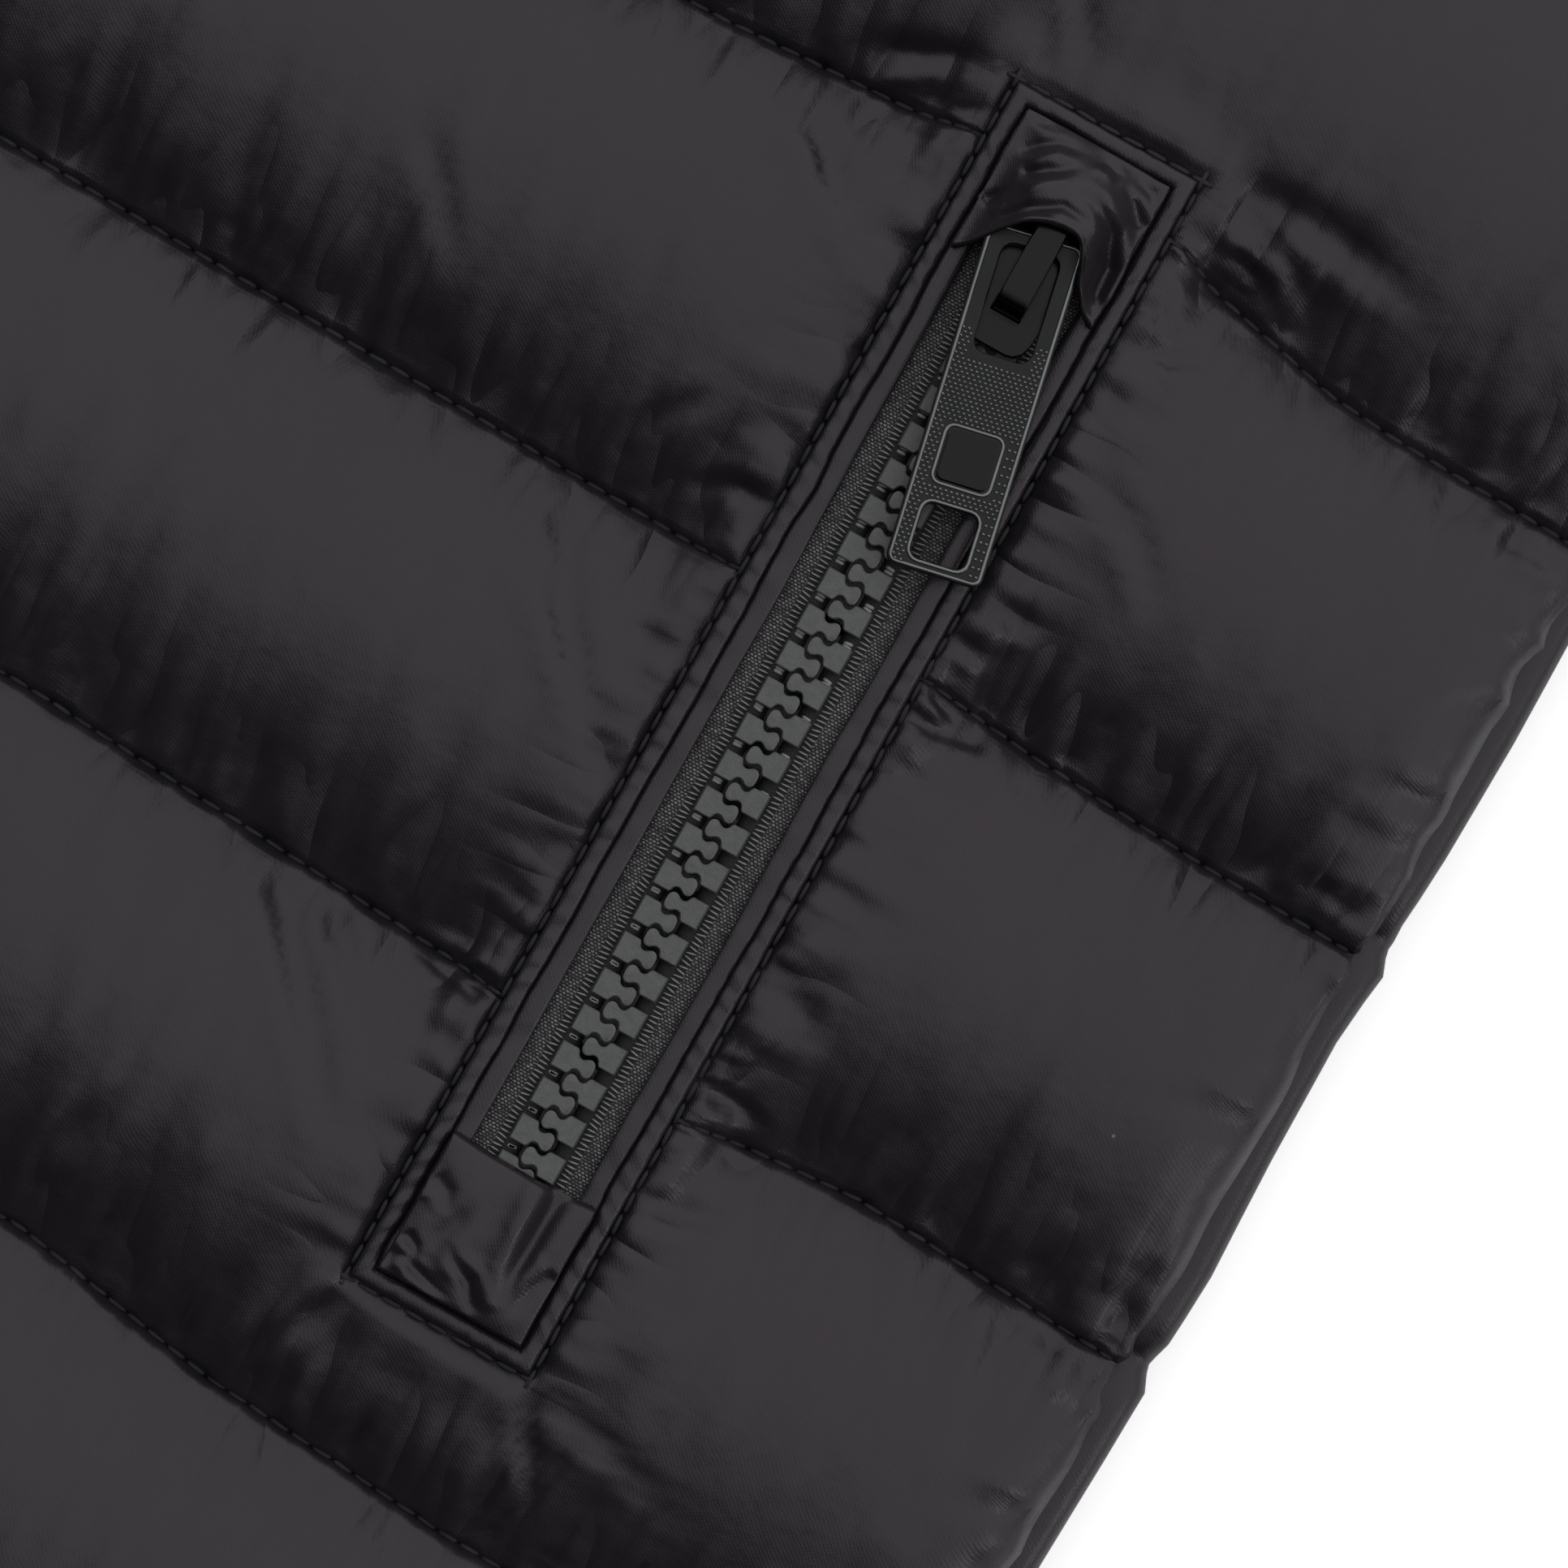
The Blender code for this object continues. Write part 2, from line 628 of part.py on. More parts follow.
def make_end_tab(name, pocket, side):
    """The folded patch over the zip's lower end."""
    half_wide, top, foot, low, wall = 7.6, 117.0, 131.9, CHAIN_TOP + GAP, 1.2
    columns, rows = 6, 5
    bm = bmesh.new()
    bmesh.ops.create_grid(bm, x_segments=columns, y_segments=rows, size=1)
    for v in bm.verts:
        crown = (1 - v.co.x**2) * (1 - v.co.y**2) * 0.8
        y = -(top + foot) / 2 + v.co.y * (foot - top) / 2
        v.co = Vector((side * v.co.x * half_wide, y, low + wall + crown)) * MM
    rim = [edge for edge in bm.edges if edge.is_boundary]
    inside = bmesh.ops.extrude_edge_only(bm, edges=rim)["geom"]
    for part in inside:
        if isinstance(part, bmesh.types.BMVert):
            part.co.z = low * MM
    bmesh.ops.holes_fill(bm, edges=[e for e in bm.edges if e.is_boundary], sides=0)
    return add(name, to_mesh(bm, name), pocket, "shell")


def make_pockets(jacket):
    for word, side in SIDES:
        name = f"pocket_{word}"
        lean = POCKET_LONG / 2 * math.sin(POCKET_SLANT)
        at = (side * (POCKET_ACROSS - lean), POCKET_TOP_UP, BED_Z)
        pocket = empty(name, jacket, at, side * POCKET_SLANT)
        make_welt(f"{name}_welt", pocket, side)
        zip_ends = Zip(tape_top=-4.4, tape_foot=-130.2, chain_top=-4.4, chain_foot=-126.0)
        make_zip(f"{name}_zip", pocket, TAPE_WIDE / 2, zip_ends)
        make_garage(f"{name}_garage", pocket, side)
        make_end_tab(f"{name}_end_tab", pocket, side)
        across, down = POCKET_HINGE
        slider = empty(f"{name}_slider_place", pocket, (0, -down, HINGE_Z))
        make_slider(f"{name}_slider", slider)
        hinge = empty(f"{name}_hinge", pocket, (-side * across, -down, HINGE_Z))
        make_pull(f"{name}_pull", hinge, side * POCKET_TWIST)


def make_front_zip(jacket):
    zip_place = empty("front_zip_place", jacket, (0, 0, BACK_THICK))
    zip_ends = Zip(COLLAR_TOP_UP - 1, 1.5, COLLAR_TOP_UP - 2, 4.0)
    make_zip("front_zip", zip_place, ZIP_EDGE - GAP, zip_ends)
    hinge = empty("front_hinge", zip_place, (0, FRONT_HINGE_UP, HINGE_Z))
    make_slider("front_slider", hinge)
    make_pull("front_pull", hinge, 0.0)


# --- The jacket ----------------------------------------------------------------------------

SIDES = (("left", 1), ("right", -1))
clear_scene()
COLLECTION = new_collection("hooded_puffer_jacket")
CUTTERS = new_collection("joined_shapes")
whole = empty("jacket", at=(0, -LENGTH / 2, 0))
make_body(whole)
make_collar_and_hood(whole)
make_sleeves(whole)
make_pockets(whole)
make_front_zip(whole)
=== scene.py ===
"""The looks of a hooded puffer jacket, zipped up and laid flat on its back.

Tables and functions are in millimetres: across from the middle of the front towards
the wearer's left, up from the hem, and z from the surface that the jacket lies on.
Each padded piece is let out under pressure between its quilting seams, and the same
functions make the wearer's left and right.
"""

import json
import math
from collections import namedtuple

import bmesh
import bpy
import numpy as np
from bpy.props import FloatProperty, FloatVectorProperty, IntProperty, PointerProperty
from mathutils import Matrix, Vector

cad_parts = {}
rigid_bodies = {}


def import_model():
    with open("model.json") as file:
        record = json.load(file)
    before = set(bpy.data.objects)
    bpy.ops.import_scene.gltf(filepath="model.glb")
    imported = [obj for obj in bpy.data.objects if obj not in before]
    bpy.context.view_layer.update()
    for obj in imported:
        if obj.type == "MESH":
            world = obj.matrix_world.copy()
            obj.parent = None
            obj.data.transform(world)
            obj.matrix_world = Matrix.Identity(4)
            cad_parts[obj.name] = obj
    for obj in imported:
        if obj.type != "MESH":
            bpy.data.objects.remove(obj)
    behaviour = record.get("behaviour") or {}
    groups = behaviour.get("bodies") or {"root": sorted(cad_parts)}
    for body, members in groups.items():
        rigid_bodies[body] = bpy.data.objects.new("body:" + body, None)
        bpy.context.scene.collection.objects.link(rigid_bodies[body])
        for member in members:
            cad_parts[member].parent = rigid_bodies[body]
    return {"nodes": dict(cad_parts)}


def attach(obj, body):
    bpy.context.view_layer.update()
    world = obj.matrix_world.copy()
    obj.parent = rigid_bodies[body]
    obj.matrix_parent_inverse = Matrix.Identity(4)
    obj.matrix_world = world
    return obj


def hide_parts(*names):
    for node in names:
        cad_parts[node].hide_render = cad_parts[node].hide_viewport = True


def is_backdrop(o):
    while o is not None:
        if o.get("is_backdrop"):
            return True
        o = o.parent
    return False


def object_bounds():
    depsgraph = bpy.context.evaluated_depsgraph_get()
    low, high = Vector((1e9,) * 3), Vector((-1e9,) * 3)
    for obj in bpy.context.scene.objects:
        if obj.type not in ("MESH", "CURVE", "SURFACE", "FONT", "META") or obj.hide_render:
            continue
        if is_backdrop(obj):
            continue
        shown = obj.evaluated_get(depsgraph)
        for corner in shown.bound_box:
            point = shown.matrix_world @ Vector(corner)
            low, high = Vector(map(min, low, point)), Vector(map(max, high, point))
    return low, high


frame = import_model()
CAD_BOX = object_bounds()

bl_info = {
    "name": "Hooded puffer jacket",
    "version": (1, 0, 0),
    "blender": (4, 5, 0),
    "location": "View3D > Sidebar > Jacket",
    "description": "Quilted cloth, pockets and zips of a hooded puffer jacket",
    "category": "Object",
}

MM = 0.001
GAP = 0.3  # between neighbouring solids
SIDES = (("left", 1), ("right", -1))

# --- The jacket's own sizes, as its solids have them --------------------------------------

LENGTH = 985.0
BACK_THICK = 10.0
FRONT_Z = BACK_THICK + GAP
QUILT_PITCH, FIRST_QUILT = 48.5, 38.5
SEAM_THICK = 3.0
EDGE_ROUND = 14.0
NOTCH, NOTCH_REACH = 0.7, 2.6  # how far an edge is drawn in at a seam, and how far from it
GROOVE = 0.9  # how far a seam lies below the cloth beside it
ZIP_EDGE, SIDE, ARMPIT_UP = 6.3, 270.0, 430.0
SHOULDER_UP, NECK_UP, BACK_NECK_UP = 600.0, 646.0, 650.0
COLLAR_TOP_UP, HOOD_FOOT_UP = 655.0, 656.0
SLEEVE_TURN, SLEEVE_LENGTH, SLEEVE_FIRST_QUILT = math.radians(32), 470.0, 42.0
CUFF_WIDE, CUFF_HIGH, CUFF_LONG = 104.0, 9.0, 20.0

POCKET_ACROSS, POCKET_TOP_UP = 207.6, 239.4
POCKET_LONG, POCKET_WIDE = 134.6, 20.2
POCKET_SLANT = math.radians(0.7)
BED_Z = FRONT_Z + 7.0
BED_RISE = 8.5

HALF_TAPE = 7.4
TAPE_FOOT, TAPE_TOP, CHAIN_TOP = 0.3, 1.1, 2.4
TOOTH_PITCH = 4.1
HINGE_Z = 5.3
POCKET_TWIST, PULL_TILT = math.radians(12), math.radians(1.5)
POCKET_HINGE = (0.9, 13.5)
FRONT_HINGE_UP = 646.0

Span = namedtuple("Span", "up inner outer")
NECKLINE = [(572, ZIP_EDGE), (576, 30), (584, 52), (600, 74), (620, 88), (646, 94.5)]
FRONT = [
    Span(0.8, ZIP_EDGE, 266), Span(12, ZIP_EDGE, 269), Span(40, ZIP_EDGE, SIDE),
    Span(ARMPIT_UP, ZIP_EDGE, SIDE), Span(572, ZIP_EDGE, 233.2), Span(576, 30, 232.2),
    Span(584, 52, 230.1), Span(600, 74, 226), Span(620, 88, 169.9), Span(646, 94.5, 97),
]
HOOD = [
    Span(656, 60, 94), Span(672, 64, 106), Span(700, 71, 125), Span(740, 79, 144),
    Span(790, 84, 156), Span(830, 82, 157), Span(860, 73, 152), Span(882, 57, 143),
    Span(897, 34, 136), Span(906, 0.15, 131), Span(940, 0.15, 102), Span(965, 0.15, 68),
    Span(978, 0.15, 38), Span(983.5, 0.15, 12),
]
SLEEVE = [
    Span(-470, 0, 116), Span(-330, 0, 138), Span(-200, 0, 158), Span(-86, 0, 168),
    Span(-29, 0, 165), Span(0, 0, 157), Span(33, 10.4, 148), Span(86, 27.1, 122),
    Span(130, 41, 91), Span(150, 47.3, 72), Span(167, 52.6, 54),
]
COLLAR = [
    Span(y, ZIP_EDGE, float(np.interp(y - 2 * GAP, *zip(*NECKLINE))) - GAP)
    for y in (573, 576.6, 584.6, 600.6, 620.6, 646.6, COLLAR_TOP_UP)
]

# How far each seam beside the pocket strays from its straight line: across, and up
STRAYS = {
    87.0: [(6, 0), (120, 3), (167, 4.6), (191, 0.9), (220, -0.9), (270, -1.4)],
    135.5: [(6, 0), (110, 2.4), (140, 3.1), (198, 0.4), (219, -1.5), (238, 0.2), (270, -1)],
    184.0: [(6, 0), (113, 0.7), (198, 0), (219, -0.3), (232, -1.4), (253, -2.3), (270, -2.4)],
    232.5: [
        (6, 0), (110, -2.2), (167, -1.6), (197, 0.6), (219, 0.8), (225, -0.9),
        (231, -2.1), (239, -3.8), (247, -4.4), (270, -4.7),
    ],
}


# --- Sizes and colours that a user would change ---------------------------------------------


def number(name, description, value, **limits):
    return FloatProperty(name=name, description=description, default=value, **{"min": 0.0, **limits})


def length(name, description, mm, least=0.0):
    return number(name, description, mm * MM, min=least, unit="LENGTH", precision=4)


def share(name, description, value):
    return number(name, description, value, max=1.0, subtype="FACTOR")


def angle(name, description, degrees):
    return FloatProperty(name=name, description=description, default=math.radians(degrees), subtype="ANGLE")


def colour(name, description, rgb):
    limits = {"size": 4, "min": 0.0, "max": 1.0, "subtype": "COLOR"}
    return FloatVectorProperty(name=name, description=description, default=(*rgb, 1.0), **limits)


class JacketPadding(bpy.types.PropertyGroup):
    puff: length("Puff", "How far the padding stands above a quilting seam", 6.0)
    least_extra: share("Least extra cloth", "Cloth gathered into a seam where it is smoothest", 0.004)
    most_extra: share("Most extra cloth", "Cloth gathered into a seam where it is fullest", 0.04)
    pressure: number("Pressure", "Pressure of the padding", 5.0)
    fine_step: length("Fine step", "Spacing of points round the left pocket", 1.0, 0.0005)
    coarse_step: length("Coarse step", "Spacing of points elsewhere", 4.3, 0.002)
    seed: IntProperty(name="Seed", description="Changes how the gathers fall", default=7, min=0)


class JacketSewing(bpy.types.PropertyGroup):
    stitch: length("Stitch", "Spacing of the lockstitches", 2.5, 0.001)
    thread: length("Thread", "Width of the thread", 0.55)
    tooth: length("Tooth pitch", "Spacing of the teeth along one tape", TOOTH_PITCH, 0.001)
    scale: length("Relief pitch", "Spacing of the relief on a pull tab", 0.56, 0.0002)


class JacketColours(bpy.types.PropertyGroup):
    cloth: colour("Cloth", "Satin nylon", (0.0137, 0.0121, 0.0144))
    thread: colour("Thread", "Sewing thread", (0.022, 0.021, 0.023))
    tape: colour("Tape", "Zip tape", (0.018, 0.018, 0.019))
    teeth: colour("Teeth", "Moulded zip teeth", (0.064, 0.068, 0.0655))
    # The slider's own black, made darker still as painted shade for where it lies under its tab; the tab's
    # recess plate takes it too as painted shade.
    slider: colour("Slider", "Lacquered slider", (0.001, 0.001, 0.0011))
    pull: colour("Pull tab", "Plated pull tab", (0.021, 0.0214, 0.0214))
    floor: colour("Floor", "The surface below", (0.93, 0.93, 0.93))


class JacketLight(bpy.types.PropertyGroup):
    strength: number("Strength", "Strength of the soft light", 1.0)
    lean: angle("Lean", "Lean of the light from overhead", 60)
    spread: angle("Spread", "Half the angle that the light fills", 84)
    soft: angle("Softness", "How softly the light ends", 18)
    lamp: number("Small lamp", "Strength of the small lamp low over the hem's side", 3.5)
    least: number("Fill", "Light from every side", 0.002)


def padding_settings():
    return bpy.context.scene.jacket_padding


def sewing_settings():
    return bpy.context.scene.jacket_sewing


def colours():
    return bpy.context.scene.jacket_colours


# --- Places and meshes -------------------------------------------------------------------


Place = namedtuple("Place", "side across up z turn")
BODY = {side: Place(side, 0.0, 0.0, 0.0, 0.0) for side in (1, -1)}
SLEEVE_PLACE = {side: Place(side, SIDE + 0.5, ARMPIT_UP, 0.0, SLEEVE_TURN) for side in (1, -1)}
LEAN = POCKET_LONG / 2 * math.sin(POCKET_SLANT)
POCKET = {side: Place(side, POCKET_ACROSS - LEAN, POCKET_TOP_UP, BED_Z, POCKET_SLANT) for side in (1, -1)}
ZIP = Place(1, 0.0, 0.0, BACK_THICK, 0.0)


def added(obj):
    bpy.context.scene.collection.objects.link(obj)
    return obj


def world(points, place):
    """Points of a piece, in its own millimetres, as metres of the whole jacket."""
    points = np.asarray(points, float)
    x, y, z = place.side * points[..., 0], points[..., 1], points[..., 2]
    c, s = math.cos(place.side * place.turn), math.sin(place.side * place.turn)
    across = place.side * place.across + c * x - s * y
    up = place.up + s * x + c * y
    return np.stack([across, up - LENGTH / 2, place.z + z], -1) * MM


def mesh_object(name, points, faces, material, side=1, smooth=True):
    """An object at the origin from points in metres. A mirrored side turns its faces over."""
    if side < 0:
        faces = [tuple(reversed(face)) for face in faces]
    mesh = bpy.data.meshes.new(name)
    mesh.from_pydata(np.asarray(points).reshape(-1, 3).tolist(), [], faces)
    mesh.validate()
    if smooth:
        mesh.shade_smooth()
    if material:
        mesh.materials.append(material)
    return added(bpy.data.objects.new(name, mesh))


def grid_faces(rows, columns, start=0, closed=False):
    """Quads of a grid, whose columns may close into a ring."""
    index = np.arange(rows * columns).reshape(rows, columns) + start
    if closed:
        index = np.concatenate([index, index[:, :1]], 1)
    corners = (index[:-1, :-1], index[:-1, 1:], index[1:, 1:], index[1:, :-1])
    return [tuple(map(int, face)) for face in np.stack(corners, -1).reshape(-1, 4)]


def ring_faces(loops, size):
    """Quads of a tube through loops of points, whose last loop joins the first."""
    last = (loops - 1) * size
    closing = [(last + i, last + (i + 1) % size, (i + 1) % size, i) for i in range(size)]
    return grid_faces(loops, size, closed=True) + closing


def rim_of(rows, columns):
    """The grid's edge points, counter-clockwise."""
    index = np.arange(rows * columns).reshape(rows, columns)
    loop = [*index[0], *index[1:, -1], *index[-1, -2::-1], *index[-2:0:-1, 0]]
    return [int(i) for i in loop]


def crease_edges(mesh, columns, rows):
    """Keep the shading apart on both sides of a grid's given rows."""
    ends = np.zeros(len(mesh.edges) * 2, np.int32)
    mesh.edges.foreach_get("vertices", ends)
    first, second = (ends.reshape(-1, 2) // columns).T
    sharp = (first == second) & np.isin(first, rows)
    mesh.attributes.new("sharp_edge", "BOOLEAN", "EDGE").data.foreach_set("value", sharp)


def walls(rim, low, high):
    """Quads between two copies of a rim, whose points are found by low and by high."""
    after = [*rim[1:], rim[0]]
    return [(low(a), low(b), high(b), high(a)) for a, b in zip(rim, after)]


def over_plain_inside(name, top, inside_z, place, material, seams=()):
    """A closed piece: a shaped outside, walls at its edge and a plain inside."""
    rows, columns = top.shape[:2]
    rim = rim_of(rows, columns)
    points = top.reshape(-1, 3)
    inner = points[rim].copy()
    inner[:, 2] = inside_z
    first = len(points)
    around = range(len(rim))
    faces = grid_faces(rows, columns)
    faces += walls(list(around), lambda k: first + k, lambda k: rim[k])
    faces.append(tuple(first + k for k in reversed(around)))
    obj = mesh_object(name, world(np.concatenate([points, inner]), place), faces, material, place.side)
    crease_edges(obj.data, columns, seams)
    return obj


def swept(name, loops, place, material, ring=False, turned=False):
    """A tube through loops of points. ring joins the last loop to the first."""
    loops = np.asarray(loops, float)
    count, size = loops.shape[:2]
    if ring:
        faces = ring_faces(count, size)
    else:
        ends = [tuple(reversed(range(size))), tuple(range((count - 1) * size, count * size))]
        faces = grid_faces(count, size, closed=True) + ends
    return mesh_object(name, world(loops, place), faces, material, -place.side if turned else place.side)


def uneven(seed, x, y, cell_x, cell_y):
    """Smooth noise between 0 and 1, the same for the same seed."""
    a = (x - x.min()) / cell_x
    b = (y - y.min()) / cell_y
    values = np.random.default_rng(seed).random((int(b.max()) + 2, int(a.max()) + 2))
    i, j = a.astype(int), b.astype(int)
    fa, fb = a - i, b - j
    fa, fb = fa * fa * (3 - 2 * fa), fb * fb * (3 - 2 * fb)
    low = values[j, i] * (1 - fa) + values[j, i + 1] * fa
    high = values[j + 1, i] * (1 - fa) + values[j + 1, i + 1] * fa
    return low * (1 - fb) + high * fb


def ease(value):
    value = np.clip(value, 0.0, 1.0)
    return value * value * (3 - 2 * value)


def column_of(table, at, column):
    return np.interp(at, [row[0] for row in table], [row[column] for row in table])


def on_jacket(obj, *nodes, slot="shell", body="jacket"):
    """Let a piece stand for its solids and ride on its body. Its slot is not used."""
    if nodes:
        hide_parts(*nodes)
    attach(obj, body)
    return obj


# --- Padding between quilting seams ---------------------------------------------------------

Rows = namedtuple("Rows", "up share full seam")
Patch = namedtuple("Patch", "points pins extra")


def seam_lines(first, low, high):
    lines = [first + k * QUILT_PITCH for k in range(-20, 40)]
    return [low, *[y for y in lines if low + 6 < y < high - 6], high]


def rows_between(lines, step, crowd=0.0):
    """Rows of points in each baffle: one on every seam, and the others crowded towards them."""
    up, part, full, seam = [], [], [], []
    for low, high in zip(lines, lines[1:]):
        count = max(2, round((high - low) / step))
        for k in range(count):
            share = k / count - crowd * math.sin(2 * math.pi * k / count) / (2 * math.pi)
            up.append(low + (high - low) * share)
            part.append(share)
            full.append(min(1.0, (high - low) / QUILT_PITCH))
            seam.append(k == 0)
    return Rows(*map(np.array, ([*up, lines[-1]], [*part, 0.0], [*full, full[-1]], [*seam, True])))


def stray(x, y):
    """How far the cloth at a height follows the seams that stray beside the pocket."""
    lines = sorted(STRAYS)
    heights = [lines[0] - QUILT_PITCH, *lines, lines[-1] + QUILT_PITCH]
    shifts = [np.zeros_like(x)]
    shifts += [np.interp(x, *zip(*STRAYS[line])) for line in lines]
    shifts.append(np.zeros_like(x))
    total = np.zeros_like(x)
    for k in range(len(heights) - 1):
        part = (y - heights[k]) / (heights[k + 1] - heights[k])
        inside = (part >= 0) & (part < 1)
        total += np.where(inside, shifts[k] * (1 - part) + shifts[k + 1] * part, 0.0)
    return total


def beside_pocket(x, y, margin=0.0):
    """Distance from the pocket's frame, widened by a margin."""
    lean = (POCKET_TOP_UP - POCKET_LONG / 2 - y) * math.sin(POCKET_SLANT)
    beside = np.abs(x - POCKET_ACROSS - lean) - POCKET_WIDE / 2 - margin
    beyond = np.abs(y - POCKET_TOP_UP + POCKET_LONG / 2) - POCKET_LONG / 2 - margin
    return np.hypot(np.maximum(0, beside), np.maximum(0, beyond))


def wander(random, count, cell, size):
    """A smooth random line of so many steps."""
    knots = random.normal(0, size, int(count / cell) + 3)
    at = np.arange(count) / cell
    low = at.astype(int)
    return knots[low] + (knots[low + 1] - knots[low]) * ease(at - low)


def rows_to_a_mm(rows):
    return len(rows.up) / (rows.up[-1] - rows.up[0])


def bulge(rows):
    """How full the padding is at each row, 0 at the seams."""
    return (rows.full * np.sin(np.pi * rows.share) ** 0.75)[:, None]


def rounded(inwards):
    """The share of its height that the padding has so far from an edge."""
    return np.sqrt(1 - (1 - np.clip(inwards / EDGE_ROUND, 0, 1)) ** 2)


WAVE_LONG, WAVE_DEEP = 4.5, 0.55  # an outline wanders by so much between its seams
LUMPS = 0.9  # the unevenness that the cloth starts from


def patch(table, rows, shares, seed, notched_to=-math.inf, pocket=False):
    """A piece of cloth before it is let out: points, what is sewn down and the extra cloth."""
    inner, outer = column_of(table, rows.up, 1), column_of(table, rows.up, 2)
    lines = rows.up[rows.seam]
    nearest = np.abs(rows.up[:, None] - lines[None, 1:-1]).min(1) if len(lines) > 2 else 99
    outer = outer - NOTCH * (1 - ease(nearest / NOTCH_REACH)) * (rows.up < notched_to)
    random = np.random.default_rng(seed + 70)
    waves = wander(random, len(outer), max(2.0, WAVE_LONG * rows_to_a_mm(rows)), WAVE_DEEP)
    outer = outer - np.abs(waves) * (rows.up < notched_to)
    x = inner[:, None] + shares[None, :] * (outer - inner)[:, None]
    y = np.repeat(rows.up[:, None], len(shares), 1)
    if pocket:
        y = y + stray(x, y)
    edge = rounded(np.minimum(x - inner[:, None], outer[:, None] - x))
    full = bulge(rows)
    z = padding_settings().puff / MM * full * edge
    z = z + (uneven(seed, x, y, 3.0, 5.0) - 0.5) * LUMPS * (full > 0) * edge
    pins = np.repeat(rows.seam[:, None], len(shares), 1)
    pins[0] = pins[-1] = True
    pins[:, 0] = pins[:, -1] = True
    if pocket:
        away = beside_pocket(x, y, 0.4)
        risen = ease(away / BED_RISE)
        z = z * risen + (BED_Z - FRONT_Z - SEAM_THICK) * (1 - risen)
        pins |= away <= 0
    extra = uneven(seed + 50, x, y, 7.0, 20.0)
    points = np.stack([x, y, FRONT_Z + SEAM_THICK + z], -1)
    return Patch(points, pins, np.clip((extra - 0.25) * 2, 0, 1))


FRAMES = 15
FABRIC = {
    "quality": 4, "mass": 0.3, "tension_stiffness": 20, "compression_stiffness": 15,
    "shear_stiffness": 5, "bending_stiffness": 0.3, "use_pressure": True,
    "vertex_group_shrink": "extra", "vertex_group_mass": "sewn",
}


def let_out(patches, scale):
    """Blow padding into the cloth: Blender's cloth under pressure, sewn down at its pins."""
    settings = padding_settings()
    points = np.concatenate([p.points.reshape(-1, 3) for p in patches])
    faces, start = [], 0
    for p in patches:
        rows, columns = p.pins.shape
        faces += grid_faces(rows, columns, start)
        start += rows * columns
    cloth = mesh_object("loose_cloth", points * MM * scale, faces, None)
    pins = np.concatenate([p.pins.reshape(-1) for p in patches])
    extra = np.concatenate([p.extra.reshape(-1) for p in patches])
    sewn = cloth.vertex_groups.new(name="sewn")
    sewn.add(np.flatnonzero(pins).tolist(), 1.0, "REPLACE")
    loose = cloth.vertex_groups.new(name="extra")
    steps = np.round(extra * 10).astype(int)
    for step in range(11):
        loose.add(np.flatnonzero(steps == step).tolist(), step / 10, "REPLACE")
    modifier = cloth.modifiers.new("Cloth", "CLOTH")
    fabric = modifier.settings
    for name, value in FABRIC.items():
        setattr(fabric, name, value)
    fabric.uniform_pressure_force = settings.pressure
    fabric.shrink_min, fabric.shrink_max = -settings.least_extra, -settings.most_extra
    fabric.effector_weights.gravity = 0
    modifier.collision_settings.use_collision = False
    modifier.point_cache.frame_start, modifier.point_cache.frame_end = 1, FRAMES + 1
    for frame_number in range(1, FRAMES + 1):
        bpy.context.scene.frame_set(frame_number)
    evaluated = cloth.evaluated_get(bpy.context.evaluated_depsgraph_get())
    places = np.zeros(len(points) * 3, np.float32)
    evaluated.data.vertices.foreach_get("co", places)
    bpy.data.objects.remove(cloth, do_unlink=True)
    bpy.context.scene.frame_set(1)
    places = places.reshape(-1, 3) / (MM * scale)
    results, start = [], 0
    for p in patches:
        rows, columns = p.pins.shape
        results.append(places[start : start + rows * columns].reshape(rows, columns, 3).astype(float))
        start += rows * columns
    return results


def resampled(points, rows, columns):
    """The cloth at fractional rows and columns of its grid."""
    i = np.clip(np.floor(rows).astype(int), 0, points.shape[0] - 2)
    j = np.clip(np.floor(columns).astype(int), 0, points.shape[1] - 2)
    a, b = (rows - i)[:, None, None], (columns - j)[None, :, None]
    low = points[i][:, j] * (1 - b) + points[i][:, j + 1] * b
    high = points[i + 1][:, j] * (1 - b) + points[i + 1][:, j + 1] * b
    return low * (1 - a) + high * a


def finer(points, rows):
    """The cloth with twice the points each way, smooth in a baffle and sharp at its seams."""

    def doubled(strip):
        before = np.concatenate([2 * strip[:1] - strip[1:2], strip, 2 * strip[-1:] - strip[-2:-1]])
        between = (9 * (before[1:-2] + before[2:-1]) - before[:-3] - before[3:]) / 16
        result = np.empty((len(strip) * 2 - 1, *strip.shape[1:]))
        result[::2], result[1::2] = strip, between
        return result

    seams = np.flatnonzero(rows.seam)
    strips = [doubled(points[low : high + 1])[:-1] for low, high in zip(seams, seams[1:])]
    tall = np.concatenate([*strips, points[-1:]])
    wide = doubled(tall.swapaxes(0, 1)).swapaxes(0, 1)
    index = np.arange(len(wide)) / 2
    up = np.interp(index, np.arange(len(rows.up)), rows.up)
    seam = np.zeros(len(wide), bool)
    seam[::2] = rows.seam
    return wide, Rows(up, None, None, seam)
